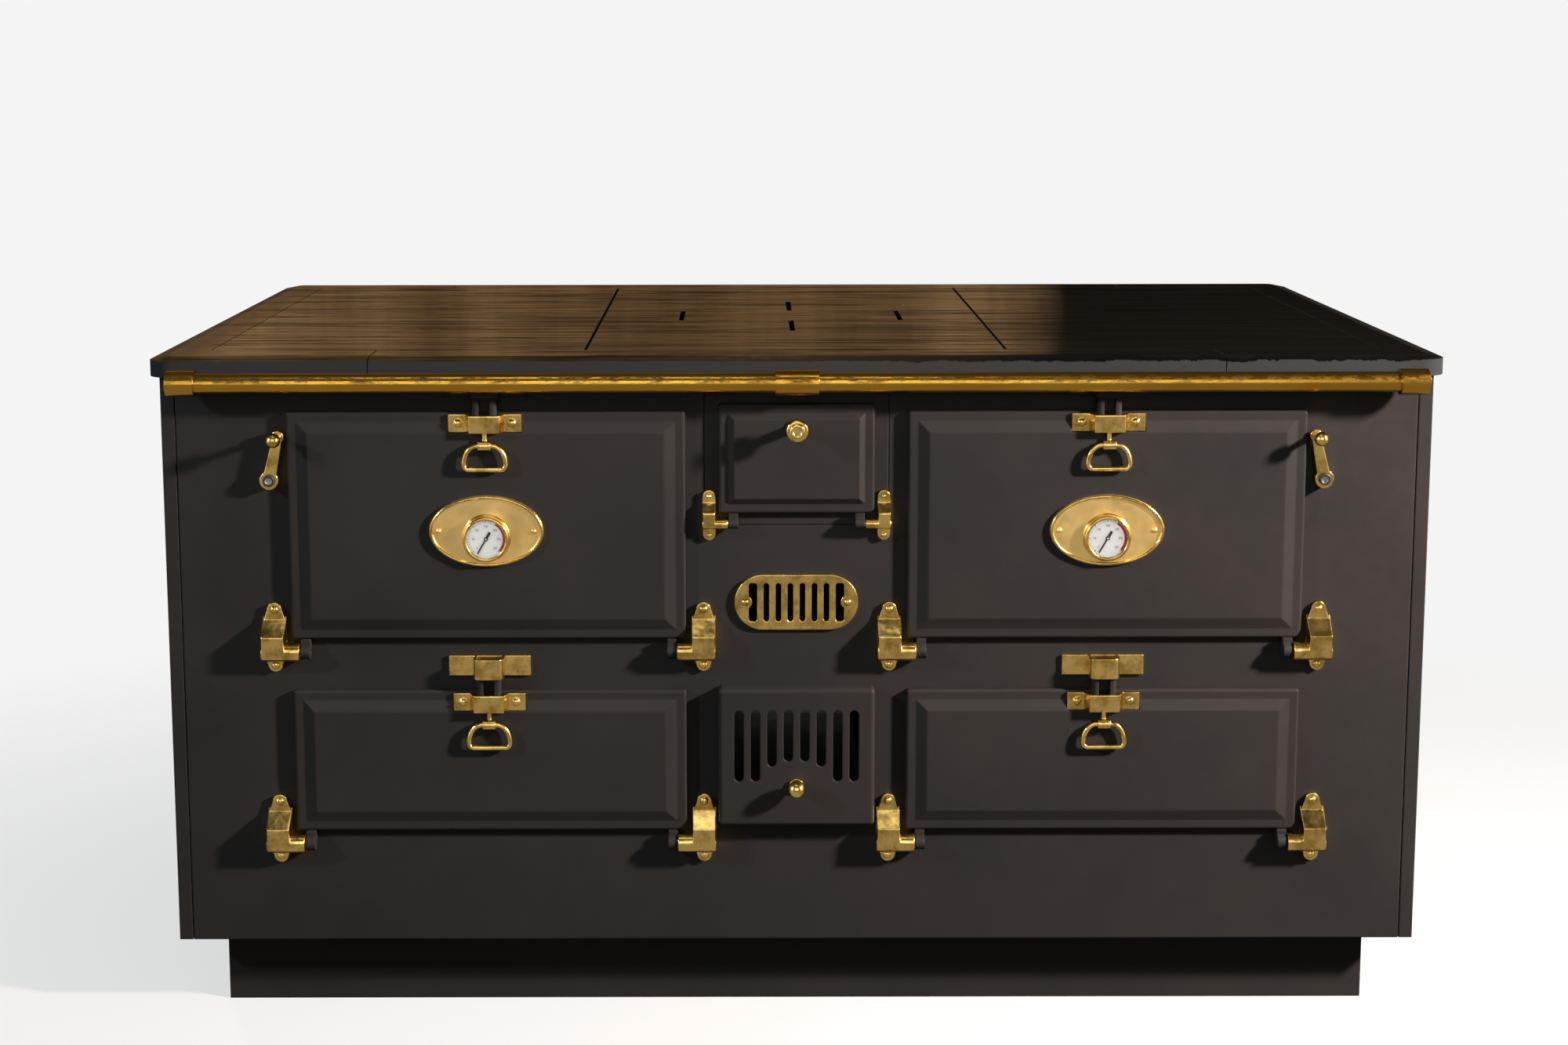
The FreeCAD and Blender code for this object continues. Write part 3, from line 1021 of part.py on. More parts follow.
def casing():
    """Side panels with their front returns, back panel with the flue, base plate and plinth."""
    tall = ("plinth_tall", UNDER_TOP)
    panels = []
    for _, sign in SIDES:
        sheet_x = outward(sign, f"{HALF_BODY} - side_thick", HALF_BODY)
        plate = box(sheet_x, (FACE, f"{REAR} - back_thick"), tall)
        strip = box(outward(sign, f"{HALF_BODY} - corner_strip + seam_gap", HALF_BODY), (FACE, BEHIND), tall)
        field = box(outward(sign, HALF_BODY, f"{HALF_BODY} + relief_rise"),
                    (f"{FACE} + relief_margin", f"{REAR} - back_thick - relief_margin"),
                    ("plinth_tall + relief_margin", f"{UNDER_TOP} - relief_margin"))
        panels.append(fuse(plate, strip, field))
    node("side_panels", group(*panels))

    back = box(about("0", HALF_BODY), (f"{REAR} - back_thick", REAR), tall)
    node("back_panel", cut(back, rod("y", "flue_radius - flue_wall", f"{REAR} - 20", f"{REAR} + 1", z=FLUE_Z)))
    flange = rod("y", "flue_flange", REAR, f"{REAR} + back_thick", z=FLUE_Z)
    spigot = rod("y", "flue_radius", REAR, f"{REAR} + flue_long", z=FLUE_Z)
    bore = rod("y", "flue_radius - flue_wall", f"{REAR} - 1", f"{REAR} + flue_long + 1", z=FLUE_Z)
    node("flue_collar", cut(fuse(flange, spigot), bore))

    inner = f"{HALF_BODY} - side_thick"
    node("base_plate", box(about("0", inner), (BEHIND, f"{REAR} - back_thick"), ("plinth_tall", BASE_TOP)))
    half_x = f"{HALF_BODY} - plinth_recess"
    half_y = f"{REAR} - plinth_recess"
    ring = box(about("0", half_x), about("0", half_y), ("0", "plinth_tall"))
    room = box(about("0", f"{half_x} - plinth_wall"), about("0", f"{half_y} - plinth_wall"),
               ("-1", "plinth_tall + 1"))
    node("plinth", cut(ring, room))


def inside():
    """Ovens, lower compartments, fire box, fire bricks and grate."""
    for name, low, tall in (("oven_boxes", OVEN_LOW, "oven_door_tall"),
                            ("lower_boxes", LOWER_LOW, "lower_door_tall")):
        boxes = []
        floor, roof = door_opening(low, tall)
        for _, sign in SIDES:
            middle = f"{sign} * {DOOR_MIDDLE}"
            half = "door_width / 2 - door_lap"
            outer = box(about(middle, f"{half} + oven_wall"), (BEHIND, f"{BEHIND} + oven_deep"),
                        (f"{floor} - oven_wall", f"{roof} + oven_wall"))
            room = box(about(middle, half), (f"{BEHIND} - 1", f"{BEHIND} + oven_deep - oven_wall"), (floor, roof))
            shell = cut(outer, room)
            if name == "oven_boxes":
                ledge_top = f"{floor} + rack_up - rack_rod - seat_gap"
                ledges = [box((f"{middle} + {half} - rack_ledge", f"{middle} + {half} + 1") if end > 0 else
                              (f"{middle} - ({half}) - 1", f"{middle} - ({half}) + rack_ledge"),
                              (f"{BEHIND} + rack_back", f"{BEHIND} + oven_deep - oven_wall + 1"),
                              (f"{ledge_top} - oven_wall", ledge_top)) for end in (-1, 1)]
                shell = fuse(shell, *ledges)
            boxes.append(shell)
        node(name, group(*boxes))

    back = f"{BEHIND} + fire_box_deep"
    outer = box(about("0", "fire_box_half"), (BEHIND, back), (FIRE_BOX_LOW, FIRE_BOX_TOP))
    room = box(about("0", "fire_box_half - fire_box_wall"), (f"{BEHIND} - 1", f"{back} - fire_box_wall"),
               (f"{FIRE_BOX_LOW} + fire_box_wall", f"{FIRE_BOX_TOP} + 1"))
    pieces = [cut(outer, room)]
    inner = "fire_box_half - fire_box_wall"
    for _, sign in SIDES:
        pieces.append(box(outward(sign, f"{inner} - brick_thick - 5", f"{inner} + 1"),
                          (BEHIND, f"{back} - 1"), (f"{GRATE_LOW} - 10", GRATE_LOW)))
        pieces.append(box(outward(sign, "pan_half - 20", "pan_half - 8"), (BEHIND, f"{BEHIND} + pan_long - 60"),
                          (f"{FIRE_BOX_LOW} + 1", f"{PAN_LOW} - seat_gap")))
    node("fire_box", fuse(*pieces))
    start = f"{BEHIND} + 2"
    bricks = [box(outward(sign, f"{inner} - brick_thick", inner), (start, f"{start} + brick_deep"),
                  (GRATE_LOW, f"{GRATE_LOW} + brick_tall")) for _, sign in SIDES]
    bricks.append(box(about("0", f"{inner} - brick_thick - side_play"),
                      (f"{start} + brick_deep - brick_thick", f"{start} + brick_deep"),
                      (GRATE_LOW, f"{GRATE_LOW} + brick_tall")))
    node("fire_bricks", group(*bricks))
    half = f"({inner} - brick_thick - side_play)"
    long_y = (f"{start} + 4", f"{start} + brick_deep - brick_thick - side_play")
    plate = box(about("0", half), long_y, (GRATE_LOW, f"{GRATE_LOW} + grate_thick"))
    count = int(size("grate_slots"))
    gaps = []
    for number in range(count):
        middle = f"({number} + 0.5 - {count} / 2) * 2 * ({half} - grate_bar / 2) / grate_slots"
        width = f"({half} - grate_bar / 2) / grate_slots - grate_bar / 2"
        gaps.append(box(about(middle, width), (f"{long_y[0]} + 2 * grate_bar", f"{long_y[1]} - 2 * grate_bar"),
                        (f"{GRATE_LOW} - 1", f"{GRATE_LOW} + grate_thick + 1")))
    node("grate", cut(plate, *gaps))


worktop()
brackets, screws = doors()
fire_brackets, fire_screws = fire_door()
vent_screws = vent()
ash_drawer()
cranks()
hand_rail()
frame_screws = screws + fire_screws + vent_screws
node("hinge_brackets", group(*brackets, *fire_brackets))
node("frame_screws", group(*[piece for piece, _ in frame_screws]))
front_frame([hole for _, hole in frame_screws])
casing()
inside()
doc.recompute()

for thing in doc.Objects:
    if "Invalid" in thing.State or "Error" in thing.State:
        raise RuntimeError(f"{thing.Name} ({thing.Label}) failed: {thing.State}")
for name, thing in nodes.items():
    if thing.Shape.isNull() or not thing.Shape.isValid() or not thing.Shape.Solids:
        raise RuntimeError(f"{name} is not a valid solid")

os.makedirs("parts", exist_ok=True)
for name, thing in nodes.items():
    thing.Shape.exportStep(f"parts/{name}.step")
print(len(nodes), "sub-parts written")
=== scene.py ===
import json
import math
import bpy
import numpy as np
from mathutils import Matrix, Vector


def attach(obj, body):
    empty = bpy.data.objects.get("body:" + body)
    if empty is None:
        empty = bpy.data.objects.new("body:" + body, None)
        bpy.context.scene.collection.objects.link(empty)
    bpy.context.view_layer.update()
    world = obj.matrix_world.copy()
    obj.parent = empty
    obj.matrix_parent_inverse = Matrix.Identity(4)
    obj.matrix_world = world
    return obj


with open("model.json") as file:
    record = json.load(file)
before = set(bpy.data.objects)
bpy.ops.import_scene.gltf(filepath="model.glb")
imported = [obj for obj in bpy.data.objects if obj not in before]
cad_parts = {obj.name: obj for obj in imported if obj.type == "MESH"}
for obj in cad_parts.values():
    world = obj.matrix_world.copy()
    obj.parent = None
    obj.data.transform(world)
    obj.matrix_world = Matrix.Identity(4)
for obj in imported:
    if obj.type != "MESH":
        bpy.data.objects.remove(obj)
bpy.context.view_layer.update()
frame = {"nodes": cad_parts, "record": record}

bpy.context.scene.view_settings.view_transform = "Standard"
NODES = frame["nodes"]
SIDES = (("left", -1), ("right", 1))


# -------------------------------------------------------------------------------- sizes and tones

# All sizes are in metres.

LENS_FOCUS, PICTURE_WIDE = 2917.5, 2000
LENS_PLACE = (-0.0607, -3.2286, 1.2243)
LENS_PITCH, LENS_ROLL = math.radians(7.874), math.radians(-0.096)

# name, place, aim, two edges, watts, colour
LAMPS = (
    ("lamp_right", (2.45, -1.55, 1.75), (0.2, -0.4, 0.5), (0.2, 0.24), 232, (1.0, 0.87, 0.78)),
    ("lamp_left", (-3.2, -2.1, 2.1), (-0.1, -0.4, 0.5), (0.26, 0.26), 47, (0.84, 0.93, 1.0)),
    ("lamp_above", (-0.3, -1.5, 3.3), (0.0, 0.0, 0.4), (1.6, 0.7), 5, (1.0, 0.98, 0.95)),
    ("lamp_back", (-1.9, 2.9, 0.72), (0.0, 0.45, 0.4), (0.5, 0.5), 60, (1.0, 0.98, 0.95)),
)
ROOM_TONE, MIRRORED_TONE, SEEN_TONE = (0.020, 0.022, 0.026), (0.07, 0.066, 0.06), (0.905, 0.905, 0.905)
FLOOR_HALF = 14.0
FLOOR_IN_METAL, FLOOR_BOUNCE = (0.33, 0.30, 0.265), (0.012, 0.011, 0.01)

# The room behind: brown boards, and unlit to the right of one place.
BOARD_DARK, BOARD_LIGHT, UNLIT = (0.15, 0.08, 0.03), (0.40, 0.23, 0.10), (0.01, 0.008, 0.006)
UNLIT_FROM_X = 0.6

IRON_DARK, IRON_LIGHT = (0.022, 0.0215, 0.022), (0.030, 0.0275, 0.0265)
BRASS_DARK, BRASS_LIGHT, BRASS_BRIGHT = (0.52, 0.34, 0.08), (0.88, 0.62, 0.2), (0.968, 0.682, 0.22)
SOOT = (0.004, 0.004, 0.004)
RIM_CORNER_DOWN = 0.0042
RAIL_RADIUS = 0.0125
OVEN_YOKE_TOP, LOWER_YOKE_TOP, BETWEEN_KEEPERS = 0.757, 0.4035, 0.6
CASE_STEEL_BEHIND_Y = -0.45325

FACE_BEHIND_NEEDLE = 0.0005
CASE_DEEP = 0.008
PLATE_RECESS = 0.0012
DIAL_RADIUS = 0.025
DIAL_START, DIAL_END, DIAL_TOP = -135, 135, 300
RED_FROM, RED_TO = 32, 132
FIGURE_TALL, FIGURE_STEP, STROKE = 0.0026, 0.0017, 0.00032
FIGURE_RADIUS = 0.0158
MARK_INSET, LONG_MARK, SHORT_MARK = 0.0044, (0.0026, 0.75), (0.0013, 0.4)
RED_INNER, RED_OUTER = 0.0042, 0.0006
BEAD_RADIUS, BEAD_INSET = 0.0019, 0.0021


# ------------------------------------------------------------------------------- camera and light

def photograph_camera():
    """A lens near the middle of the front, a little above the worktop and looking slightly down."""
    camera = bpy.data.cameras.new("camera")
    camera.sensor_width = 36.0
    camera.lens = LENS_FOCUS / PICTURE_WIDE * camera.sensor_width
    camera.shift_x = (PICTURE_WIDE / 2 - 953.3) / PICTURE_WIDE
    camera.shift_y = -0.10
    camera.clip_start, camera.clip_end = 0.05, 60
    lens = bpy.data.objects.new("camera", camera)
    level_up = Vector((0, math.sin(LENS_PITCH), math.cos(LENS_PITCH)))
    forward = Vector((0, math.cos(LENS_PITCH), -math.sin(LENS_PITCH)))
    side = Vector((1, 0, 0)) * math.cos(LENS_ROLL) + level_up * math.sin(LENS_ROLL)
    up = -Vector((1, 0, 0)) * math.sin(LENS_ROLL) + level_up * math.cos(LENS_ROLL)
    turn = Matrix((side, up, -forward)).transposed().to_4x4()
    lens.matrix_world = Matrix.Translation(LENS_PLACE) @ turn
    bpy.context.scene.collection.objects.link(lens)
    bpy.context.scene.camera = lens


def lamp(name, place, aim, size, power, colour):
    """A rectangular soft light that looks from one point at another."""
    light = bpy.data.lights.new(name, "AREA")
    light.shape = "RECTANGLE"
    light.size, light.size_y = size
    light.energy = power
    light.color = colour
    holder = bpy.data.objects.new(name, light)
    holder.location = place
    holder.rotation_euler = (Vector(aim) - Vector(place)).to_track_quat("-Z", "Y").to_euler()
    bpy.context.scene.collection.objects.link(holder)
    return holder


def seen_by_metal_only(piece):
    """Makes a piece one of the studio's cards, which only reflections meet."""
    piece.visible_camera = False
    piece.visible_diffuse = False
    piece.visible_shadow = False
    piece.visible_transmission = False
    piece.visible_volume_scatter = False


def card(name, corners, colour):
    """A flat card from its four corners, all of one tone."""
    material = bpy.data.materials.new(name)
    material.use_nodes = True
    tree = material.node_tree
    glow = tree.nodes.new("ShaderNodeEmission")
    glow.inputs["Color"].default_value = (*colour, 1)
    glow.inputs["Strength"].default_value = 1.0
    tree.links.new(glow.outputs[0], tree.nodes["Material Output"].inputs["Surface"])
    piece = mesh_piece(name, np.array(corners, float), [(0, 1, 2, 3)], material, None, False)
    seen_by_metal_only(piece)


def studio_cards():
    """Pale screens in front and at the sides for the brass, and a brown room behind for the worktop."""
    front = [(-1.9, -4.6, 0.8), (1.7, -4.6, 0.8), (1.7, -4.6, 3.4), (-1.9, -4.6, 3.4)]
    card("card_front", front, (1.9, 1.84, 1.7))
    for side, sign in SIDES:
        x = 4.0 * sign
        corners = [(x, -4.2, 0.2), (x, -0.9, 0.2), (x, -0.9, 2.6), (x, -4.2, 2.6)]
        card("card_" + side, corners, (1.5, 1.44, 1.32))
    corners = [(-2.4, 2.2, 0.9), (2.4, 2.2, 0.9), (2.4, 2.2, 3.1), (-2.4, 2.2, 3.1)]
    back = mesh_piece("card_back", np.array(corners), [(0, 1, 2, 3)], boards(), None, False)
    seen_by_metal_only(back)


def boards():
    """A room seen dimly: upright brown boards of unlike tones, unlit on the right."""
    f = Finish("boards")
    brown = f.ramp(f.noise(2.0, 2, (1.0, 0.0, 0.1)), (0.35, BOARD_DARK), (0.65, BOARD_LIGHT))
    sway = f.spread(f.noise(5.0, 4, (1.0, 0.0, 0.6), 0.6), -0.05, 0.05)
    across = f.maths("ADD", f.part("X"), sway)
    unlit = f.spread(across, 0.0, 1.0, UNLIT_FROM_X - 0.1, UNLIT_FROM_X + 0.1)
    grain = f.spread(f.noise(30.0, 5, (1.0, 0.0, 0.3), 0.7), 0.75, 1.25)
    glow = f.tree.nodes.new("ShaderNodeEmission")
    f.tree.links.new(f.mix(unlit, brown, UNLIT), glow.inputs["Color"])
    f.tree.links.new(grain, glow.inputs["Strength"])
    f.tree.links.new(glow.outputs[0], f.tree.nodes["Material Output"].inputs["Surface"])
    return f.material


def studio_light():
    """A warm lamp low on the right, weaker ones on the left, above and behind, and a dim pale room.

    No metal mirrors the lamp behind.
    """
    lamps = [lamp(*each) for each in LAMPS]
    lamps[-1].visible_glossy = False
    world = bpy.data.worlds.new("room")
    bpy.context.scene.world = world
    world.use_nodes = True
    tree = world.node_tree
    tree.nodes.clear()
    out = tree.nodes.new("ShaderNodeOutputWorld")
    mix = tree.nodes.new("ShaderNodeMixShader")
    dim = tree.nodes.new("ShaderNodeMixShader")
    path = tree.nodes.new("ShaderNodeLightPath")
    room, mirrored, seen = (background(tree, tone) for tone in (ROOM_TONE, MIRRORED_TONE, SEEN_TONE))
    tree.links.new(path.outputs["Is Glossy Ray"], dim.inputs[0])
    tree.links.new(room, dim.inputs[1])
    tree.links.new(mirrored, dim.inputs[2])
    tree.links.new(rays_that_see(tree, False), mix.inputs[0])
    tree.links.new(dim.outputs[0], mix.inputs[1])
    tree.links.new(seen, mix.inputs[2])
    tree.links.new(mix.outputs[0], out.inputs[0])


def background(tree, colour):
    """An even surrounding of one tone."""
    node = tree.nodes.new("ShaderNodeBackground")
    node.inputs["Color"].default_value = (*colour, 1)
    node.inputs["Strength"].default_value = 1.0
    return node.outputs[0]


def rays_that_see(tree, mirrored=True):
    """1 for rays that end in the eye: straight from it, through glass and, where asked, off metal."""
    path = tree.nodes.new("ShaderNodeLightPath")
    seen = path.outputs["Is Camera Ray"]
    for name in ("Is Transmission Ray", "Is Glossy Ray")[:1 + mirrored]:
        either = tree.nodes.new("ShaderNodeMath")
        either.operation = "MAXIMUM"
        tree.links.new(seen, either.inputs[0])
        tree.links.new(path.outputs[name], either.inputs[1])
        seen = either.outputs[0]
    return seen


# -------------------------------------------------------------------------------- material parts

class Finish:
    """A small builder for node materials that read Object coordinates."""

    def __init__(self, name):
        self.material = bpy.data.materials.new(name)
        self.material.use_nodes = True
        self.tree = self.material.node_tree
        self.shader = self.tree.nodes["Principled BSDF"]
        self.place = self.tree.nodes.new("ShaderNodeTexCoord").outputs["Object"]

    def set(self, **values):
        for name, value in values.items():
            self.shader.inputs[name.replace("_", " ")].default_value = value
        return self

    def link(self, source, socket):
        self.tree.links.new(source, self.shader.inputs[socket])
        return self

    def stretched(self, scale):
        mapping = self.tree.nodes.new("ShaderNodeMapping")
        mapping.inputs["Scale"].default_value = scale
        self.tree.links.new(self.place, mapping.inputs["Vector"])
        return mapping.outputs[0]

    def noise(self, scale, detail=3.0, stretch=None, roughness=0.55):
        node = self.tree.nodes.new("ShaderNodeTexNoise")
        node.inputs["Scale"].default_value = scale
        node.inputs["Detail"].default_value = detail
        node.inputs["Roughness"].default_value = roughness
        self.tree.links.new(self.stretched(stretch) if stretch else self.place, node.inputs["Vector"])
        return node.outputs["Fac"]

    def part(self, axis):
        node = self.tree.nodes.new("ShaderNodeSeparateXYZ")
        self.tree.links.new(self.place, node.inputs[0])
        return node.outputs[axis]

    def matt_where(self, mask, colour):
        """Dull where the mask is 1, of one tone or of the tones that a socket gives."""
        matt = self.tree.nodes.new("ShaderNodeBsdfDiffuse")
        if isinstance(colour, tuple):
            matt.inputs["Color"].default_value = (*colour, 1)
        else:
            self.tree.links.new(colour, matt.inputs["Color"])
        mix = self.tree.nodes.new("ShaderNodeMixShader")
        self.tree.links.new(mask, mix.inputs[0])
        self.tree.links.new(self.shader.outputs[0], mix.inputs[1])
        self.tree.links.new(matt.outputs[0], mix.inputs[2])
        self.tree.links.new(mix.outputs[0], self.tree.nodes["Material Output"].inputs["Surface"])

    def spread(self, source, low, high, from_low=0.3, from_high=0.7):
        node = self.tree.nodes.new("ShaderNodeMapRange")
        limits = {"From Min": from_low, "From Max": from_high, "To Min": low, "To Max": high}
        for socket, value in limits.items():
            node.inputs[socket].default_value = value
        self.tree.links.new(source, node.inputs["Value"])
        return node.outputs["Result"]

    def ramp(self, source, *stops):
        node = self.tree.nodes.new("ShaderNodeValToRGB")
        elements = node.color_ramp.elements
        while len(elements) < len(stops):
            elements.new(0.5)
        for element, (place, colour) in zip(elements, stops):
            element.position = place
            element.color = (*colour, 1)
        self.tree.links.new(source, node.inputs["Fac"])
        return node.outputs["Color"]

    def maths(self, operation, first, second):
        node = self.tree.nodes.new("ShaderNodeMath")
        node.operation = operation
        for index, value in enumerate((first, second)):
            if isinstance(value, (int, float)):
                node.inputs[index].default_value = value
            else:
                self.tree.links.new(value, node.inputs[index])
        return node.outputs[0]

    def mix(self, factor, first, second):
        node = self.tree.nodes.new("ShaderNodeMix")
        node.data_type = "RGBA"
        self.tree.links.new(factor, node.inputs[0])
        for index, value in ((6, first), (7, second)):
            if isinstance(value, tuple):
                node.inputs[index].default_value = (*value, 1)
            else:
                self.tree.links.new(value, node.inputs[index])
        return node.outputs[2]

    def soft_edges(self, radius):
        node = self.tree.nodes.new("ShaderNodeBevel")
        node.samples = 6
        node.inputs["Radius"].default_value = radius
        return node.outputs[0]

    def bump(self, height, distance, strength=1.0, after=None):
        node = self.tree.nodes.new("ShaderNodeBump")
        node.inputs["Distance"].default_value = distance
        node.inputs["Strength"].default_value = strength
        self.tree.links.new(height, node.inputs["Height"])
        if after is not None:
            self.tree.links.new(after, node.inputs["Normal"])
        self.tree.links.new(node.outputs[0], self.shader.inputs["Normal"])
        return node.outputs[0]


def iron_tone(f):
    """Near black with a faint warm mottle."""
    return f.ramp(f.noise(5.0, 3), (0.3, IRON_DARK), (0.7, IRON_LIGHT))


def stove_iron():
    """Cast iron under matt black stove enamel: fine casting grain and a faint warm mottle."""
    f = Finish("stove_iron")
    f.link(iron_tone(f), "Base Color")
    f.link(f.spread(f.noise(60, 3), 0.42, 0.54), "Roughness")
    f.set(Specular_IOR_Level=0.12)
    f.bump(f.noise(900, 3), 0.00006, 0.6, f.soft_edges(0.0028))
    return f.material


def height_above(f, level, blur=0.0006):
    """0 below a height and 1 above it."""
    return f.spread(f.part("Z"), 0.0, 1.0, level - blur, level + blur)


def polished_iron(edge=None):
    """Machined and oiled cast iron: glossy, with dull sooty streaks along it and dark lines at the seams.

    With an edge it is the rim's: matt grey iron as cast under that height, worn black at the front over it.
    """
    f = Finish("polished_iron" if edge is None else "rim_iron")
    fine = f.spread(f.noise(9.0, 6, (0.5, 7.0, 5.0), 0.7), 0.0, 0.7, 0.47, 0.62)
    broad = f.spread(f.noise(3.0, 5, (0.6, 6.0, 4.0), 0.65), 0.0, 0.75, 0.5, 0.66)
    dull = f.maths("MAXIMUM", fine, broad)
    f.link(f.spread(f.noise(14.0, 5, (0.5, 9.0, 6.0)), 0.05, 0.17), "Roughness")
    f.set(Base_Color=(0.008, 0.007, 0.006, 1), Specular_IOR_Level=0.7)
    from_middle = f.maths("ABSOLUTE", f.part("X"), 0.0)
    if edge is None:
        seam_x = box_of("hotplate_centre")[1][0]
        from_seam = f.maths("ABSOLUTE", f.maths("SUBTRACT", from_middle, float(seam_x)), 0.0)
        seam = f.spread(from_seam, 1.0, 0.0, 0.0014, 0.0026)
        f.matt_where(f.maths("MAXIMUM", dull, seam), SOOT)
    else:
        ragged = f.noise(26.0, 5, (1.0, 0.3, 0.0), 0.7)
        right = f.spread(f.part("X"), 0.0, 1.0, -0.35, 0.35)
        runs = f.maths("MULTIPLY", f.spread(ragged, -0.0005, 0.004, 0.45, 0.7), right)
        up = f.spread(f.maths("ADD", f.part("Z"), runs), 0.0, 1.0, edge - 0.0005, edge + 0.0005)
        strip = f.maths("ADD", f.part("Y"), f.spread(ragged, -0.01, 0.02))
        worn = f.maths("MULTIPLY", f.spread(strip, 1.0, 0.0, -0.434, -0.428), right)
        outside = f.spread(from_middle, 0.0, 0.45, 0.7, 0.76)
        dull = f.maths("MAXIMUM", f.maths("MAXIMUM", dull, worn), outside)
        cast = f.maths("SUBTRACT", 1.0, up)
        f.matt_where(f.maths("MAXIMUM", cast, dull), f.mix(up, (0.034, 0.0365, 0.0385), SOOT))
    f.bump(f.noise(7.0, 4, (1.0, 4.0, 4.0)), 0.0006, 0.25, f.soft_edges(0.0012))
    return f.material


def patina(f):
    """The noise by which brass is brown or bright."""
    return f.noise(45, 5, None, 0.62)


def brass():
    """Cast brass, hand polished: a wavy surface, brown where the patina is left."""
    f = Finish("brass")
    tone = f.ramp(patina(f), (0.38, BRASS_DARK), (0.56, BRASS_LIGHT), (0.8, BRASS_BRIGHT))
    f.link(tone, "Base Color")
    f.link(f.spread(f.noise(60, 4), 0.12, 0.26), "Roughness")
    f.set(Metallic=1.0)
    f.bump(f.noise(38, 2), 0.0022, 0.4, f.soft_edges(0.0022))
    return f.material


def rail_brass(middle, radius):
    """A drawn brass tube, polished underneath and in front; its upper side keeps a brown patina."""
    f = Finish("rail_brass")
    low = height_above(f, middle + 0.1 * radius, 0.25 * radius)
    high = height_above(f, middle + 0.78 * radius, 0.12 * radius)
    band = f.maths("SUBTRACT", low, high)
    spots = f.spread(f.noise(110, 5, (0.35, 1.0, 1.0), 0.7), 0.0, 1.0, 0.46, 0.6)
    tarnish = f.maths("MULTIPLY", band, spots)
    along = f.noise(30, 4, (0.2, 1.0, 1.0))
    tone = f.ramp(along, (0.3, (0.50, 0.26, 0.03)), (0.7, (0.64, 0.37, 0.055)))
    f.link(f.mix(tarnish, tone, (0.10, 0.055, 0.016)), "Base Color")
    f.link(f.spread(tarnish, 0.2, 0.45, 0.0, 1.0), "Roughness")
    f.set(Metallic=1.0)
    f.bump(f.noise(120, 4, (0.4, 1.0, 1.0)), 0.0006, 0.35, f.soft_edges(0.0008))
    return f.material


def plain(name, colour, rough, metallic=0.0, grain=300, depth=0.00005, spec=0.5):
    """One colour with a slight change of tone and a fine grain."""
    f = Finish(name)
    low = tuple(c * 0.86 for c in colour)
    high = tuple(min(1, c * 1.1) for c in colour)
    f.link(f.ramp(f.noise(18, 4), (0.3, low), (0.7, high)), "Base Color")
    f.link(f.spread(f.noise(45, 3), rough * 0.85, rough * 1.15), "Roughness")
    f.set(Metallic=metallic, Specular_IOR_Level=spec)
    f.bump(f.noise(grain, 3), depth, 0.6, f.soft_edges(0.0008))
    return f.material


def iron_over_brass(split):
    """Stove iron above a height and brass below it: a bolt with its yoke, or the two rows of keepers."""
    f = Finish("iron_over_brass_" + str(round(split * 1000)))
    up = height_above(f, split, 0.0002)
    gold = f.ramp(patina(f), (0.38, BRASS_DARK), (0.56, BRASS_LIGHT))
    f.link(f.mix(up, gold, iron_tone(f)), "Base Color")
    f.link(f.spread(up, 1.0, 0.0, 0.0, 1.0), "Metallic")
    f.link(f.spread(up, 0.26, 0.48, 0.0, 1.0), "Roughness")
    f.set(Specular_IOR_Level=0.12)
    f.bump(f.noise(38, 2), 0.0018, 0.4, f.soft_edges(0.002))
    return f.material


def dial_case():
    """White enamel in front of the door's panel; the case and its probe behind are steel."""
    f = Finish("dial_case")
    behind = f.spread(f.part("Y"), 0.0, 1.0, CASE_STEEL_BEHIND_Y - 0.00025, CASE_STEEL_BEHIND_Y + 0.00025)
    f.link(f.mix(behind, (0.97, 1.0, 1.0), (0.36, 0.385, 0.42)), "Base Color")
    f.link(behind, "Metallic")
    f.link(f.spread(f.noise(45, 3), 0.4, 0.5), "Roughness")
    f.bump(f.noise(300, 3), 0.00005, 0.6, f.soft_edges(0.0008))
    return f.material


def dial_glass():
    """Clear glass that bends light little, so that the dial behind it stays in place."""
    f = Finish("dial_glass")
    f.set(Base_Color=(1, 1, 1, 1), Roughness=0.02, IOR=1.3, Transmission_Weight=1.0)
    return f.material


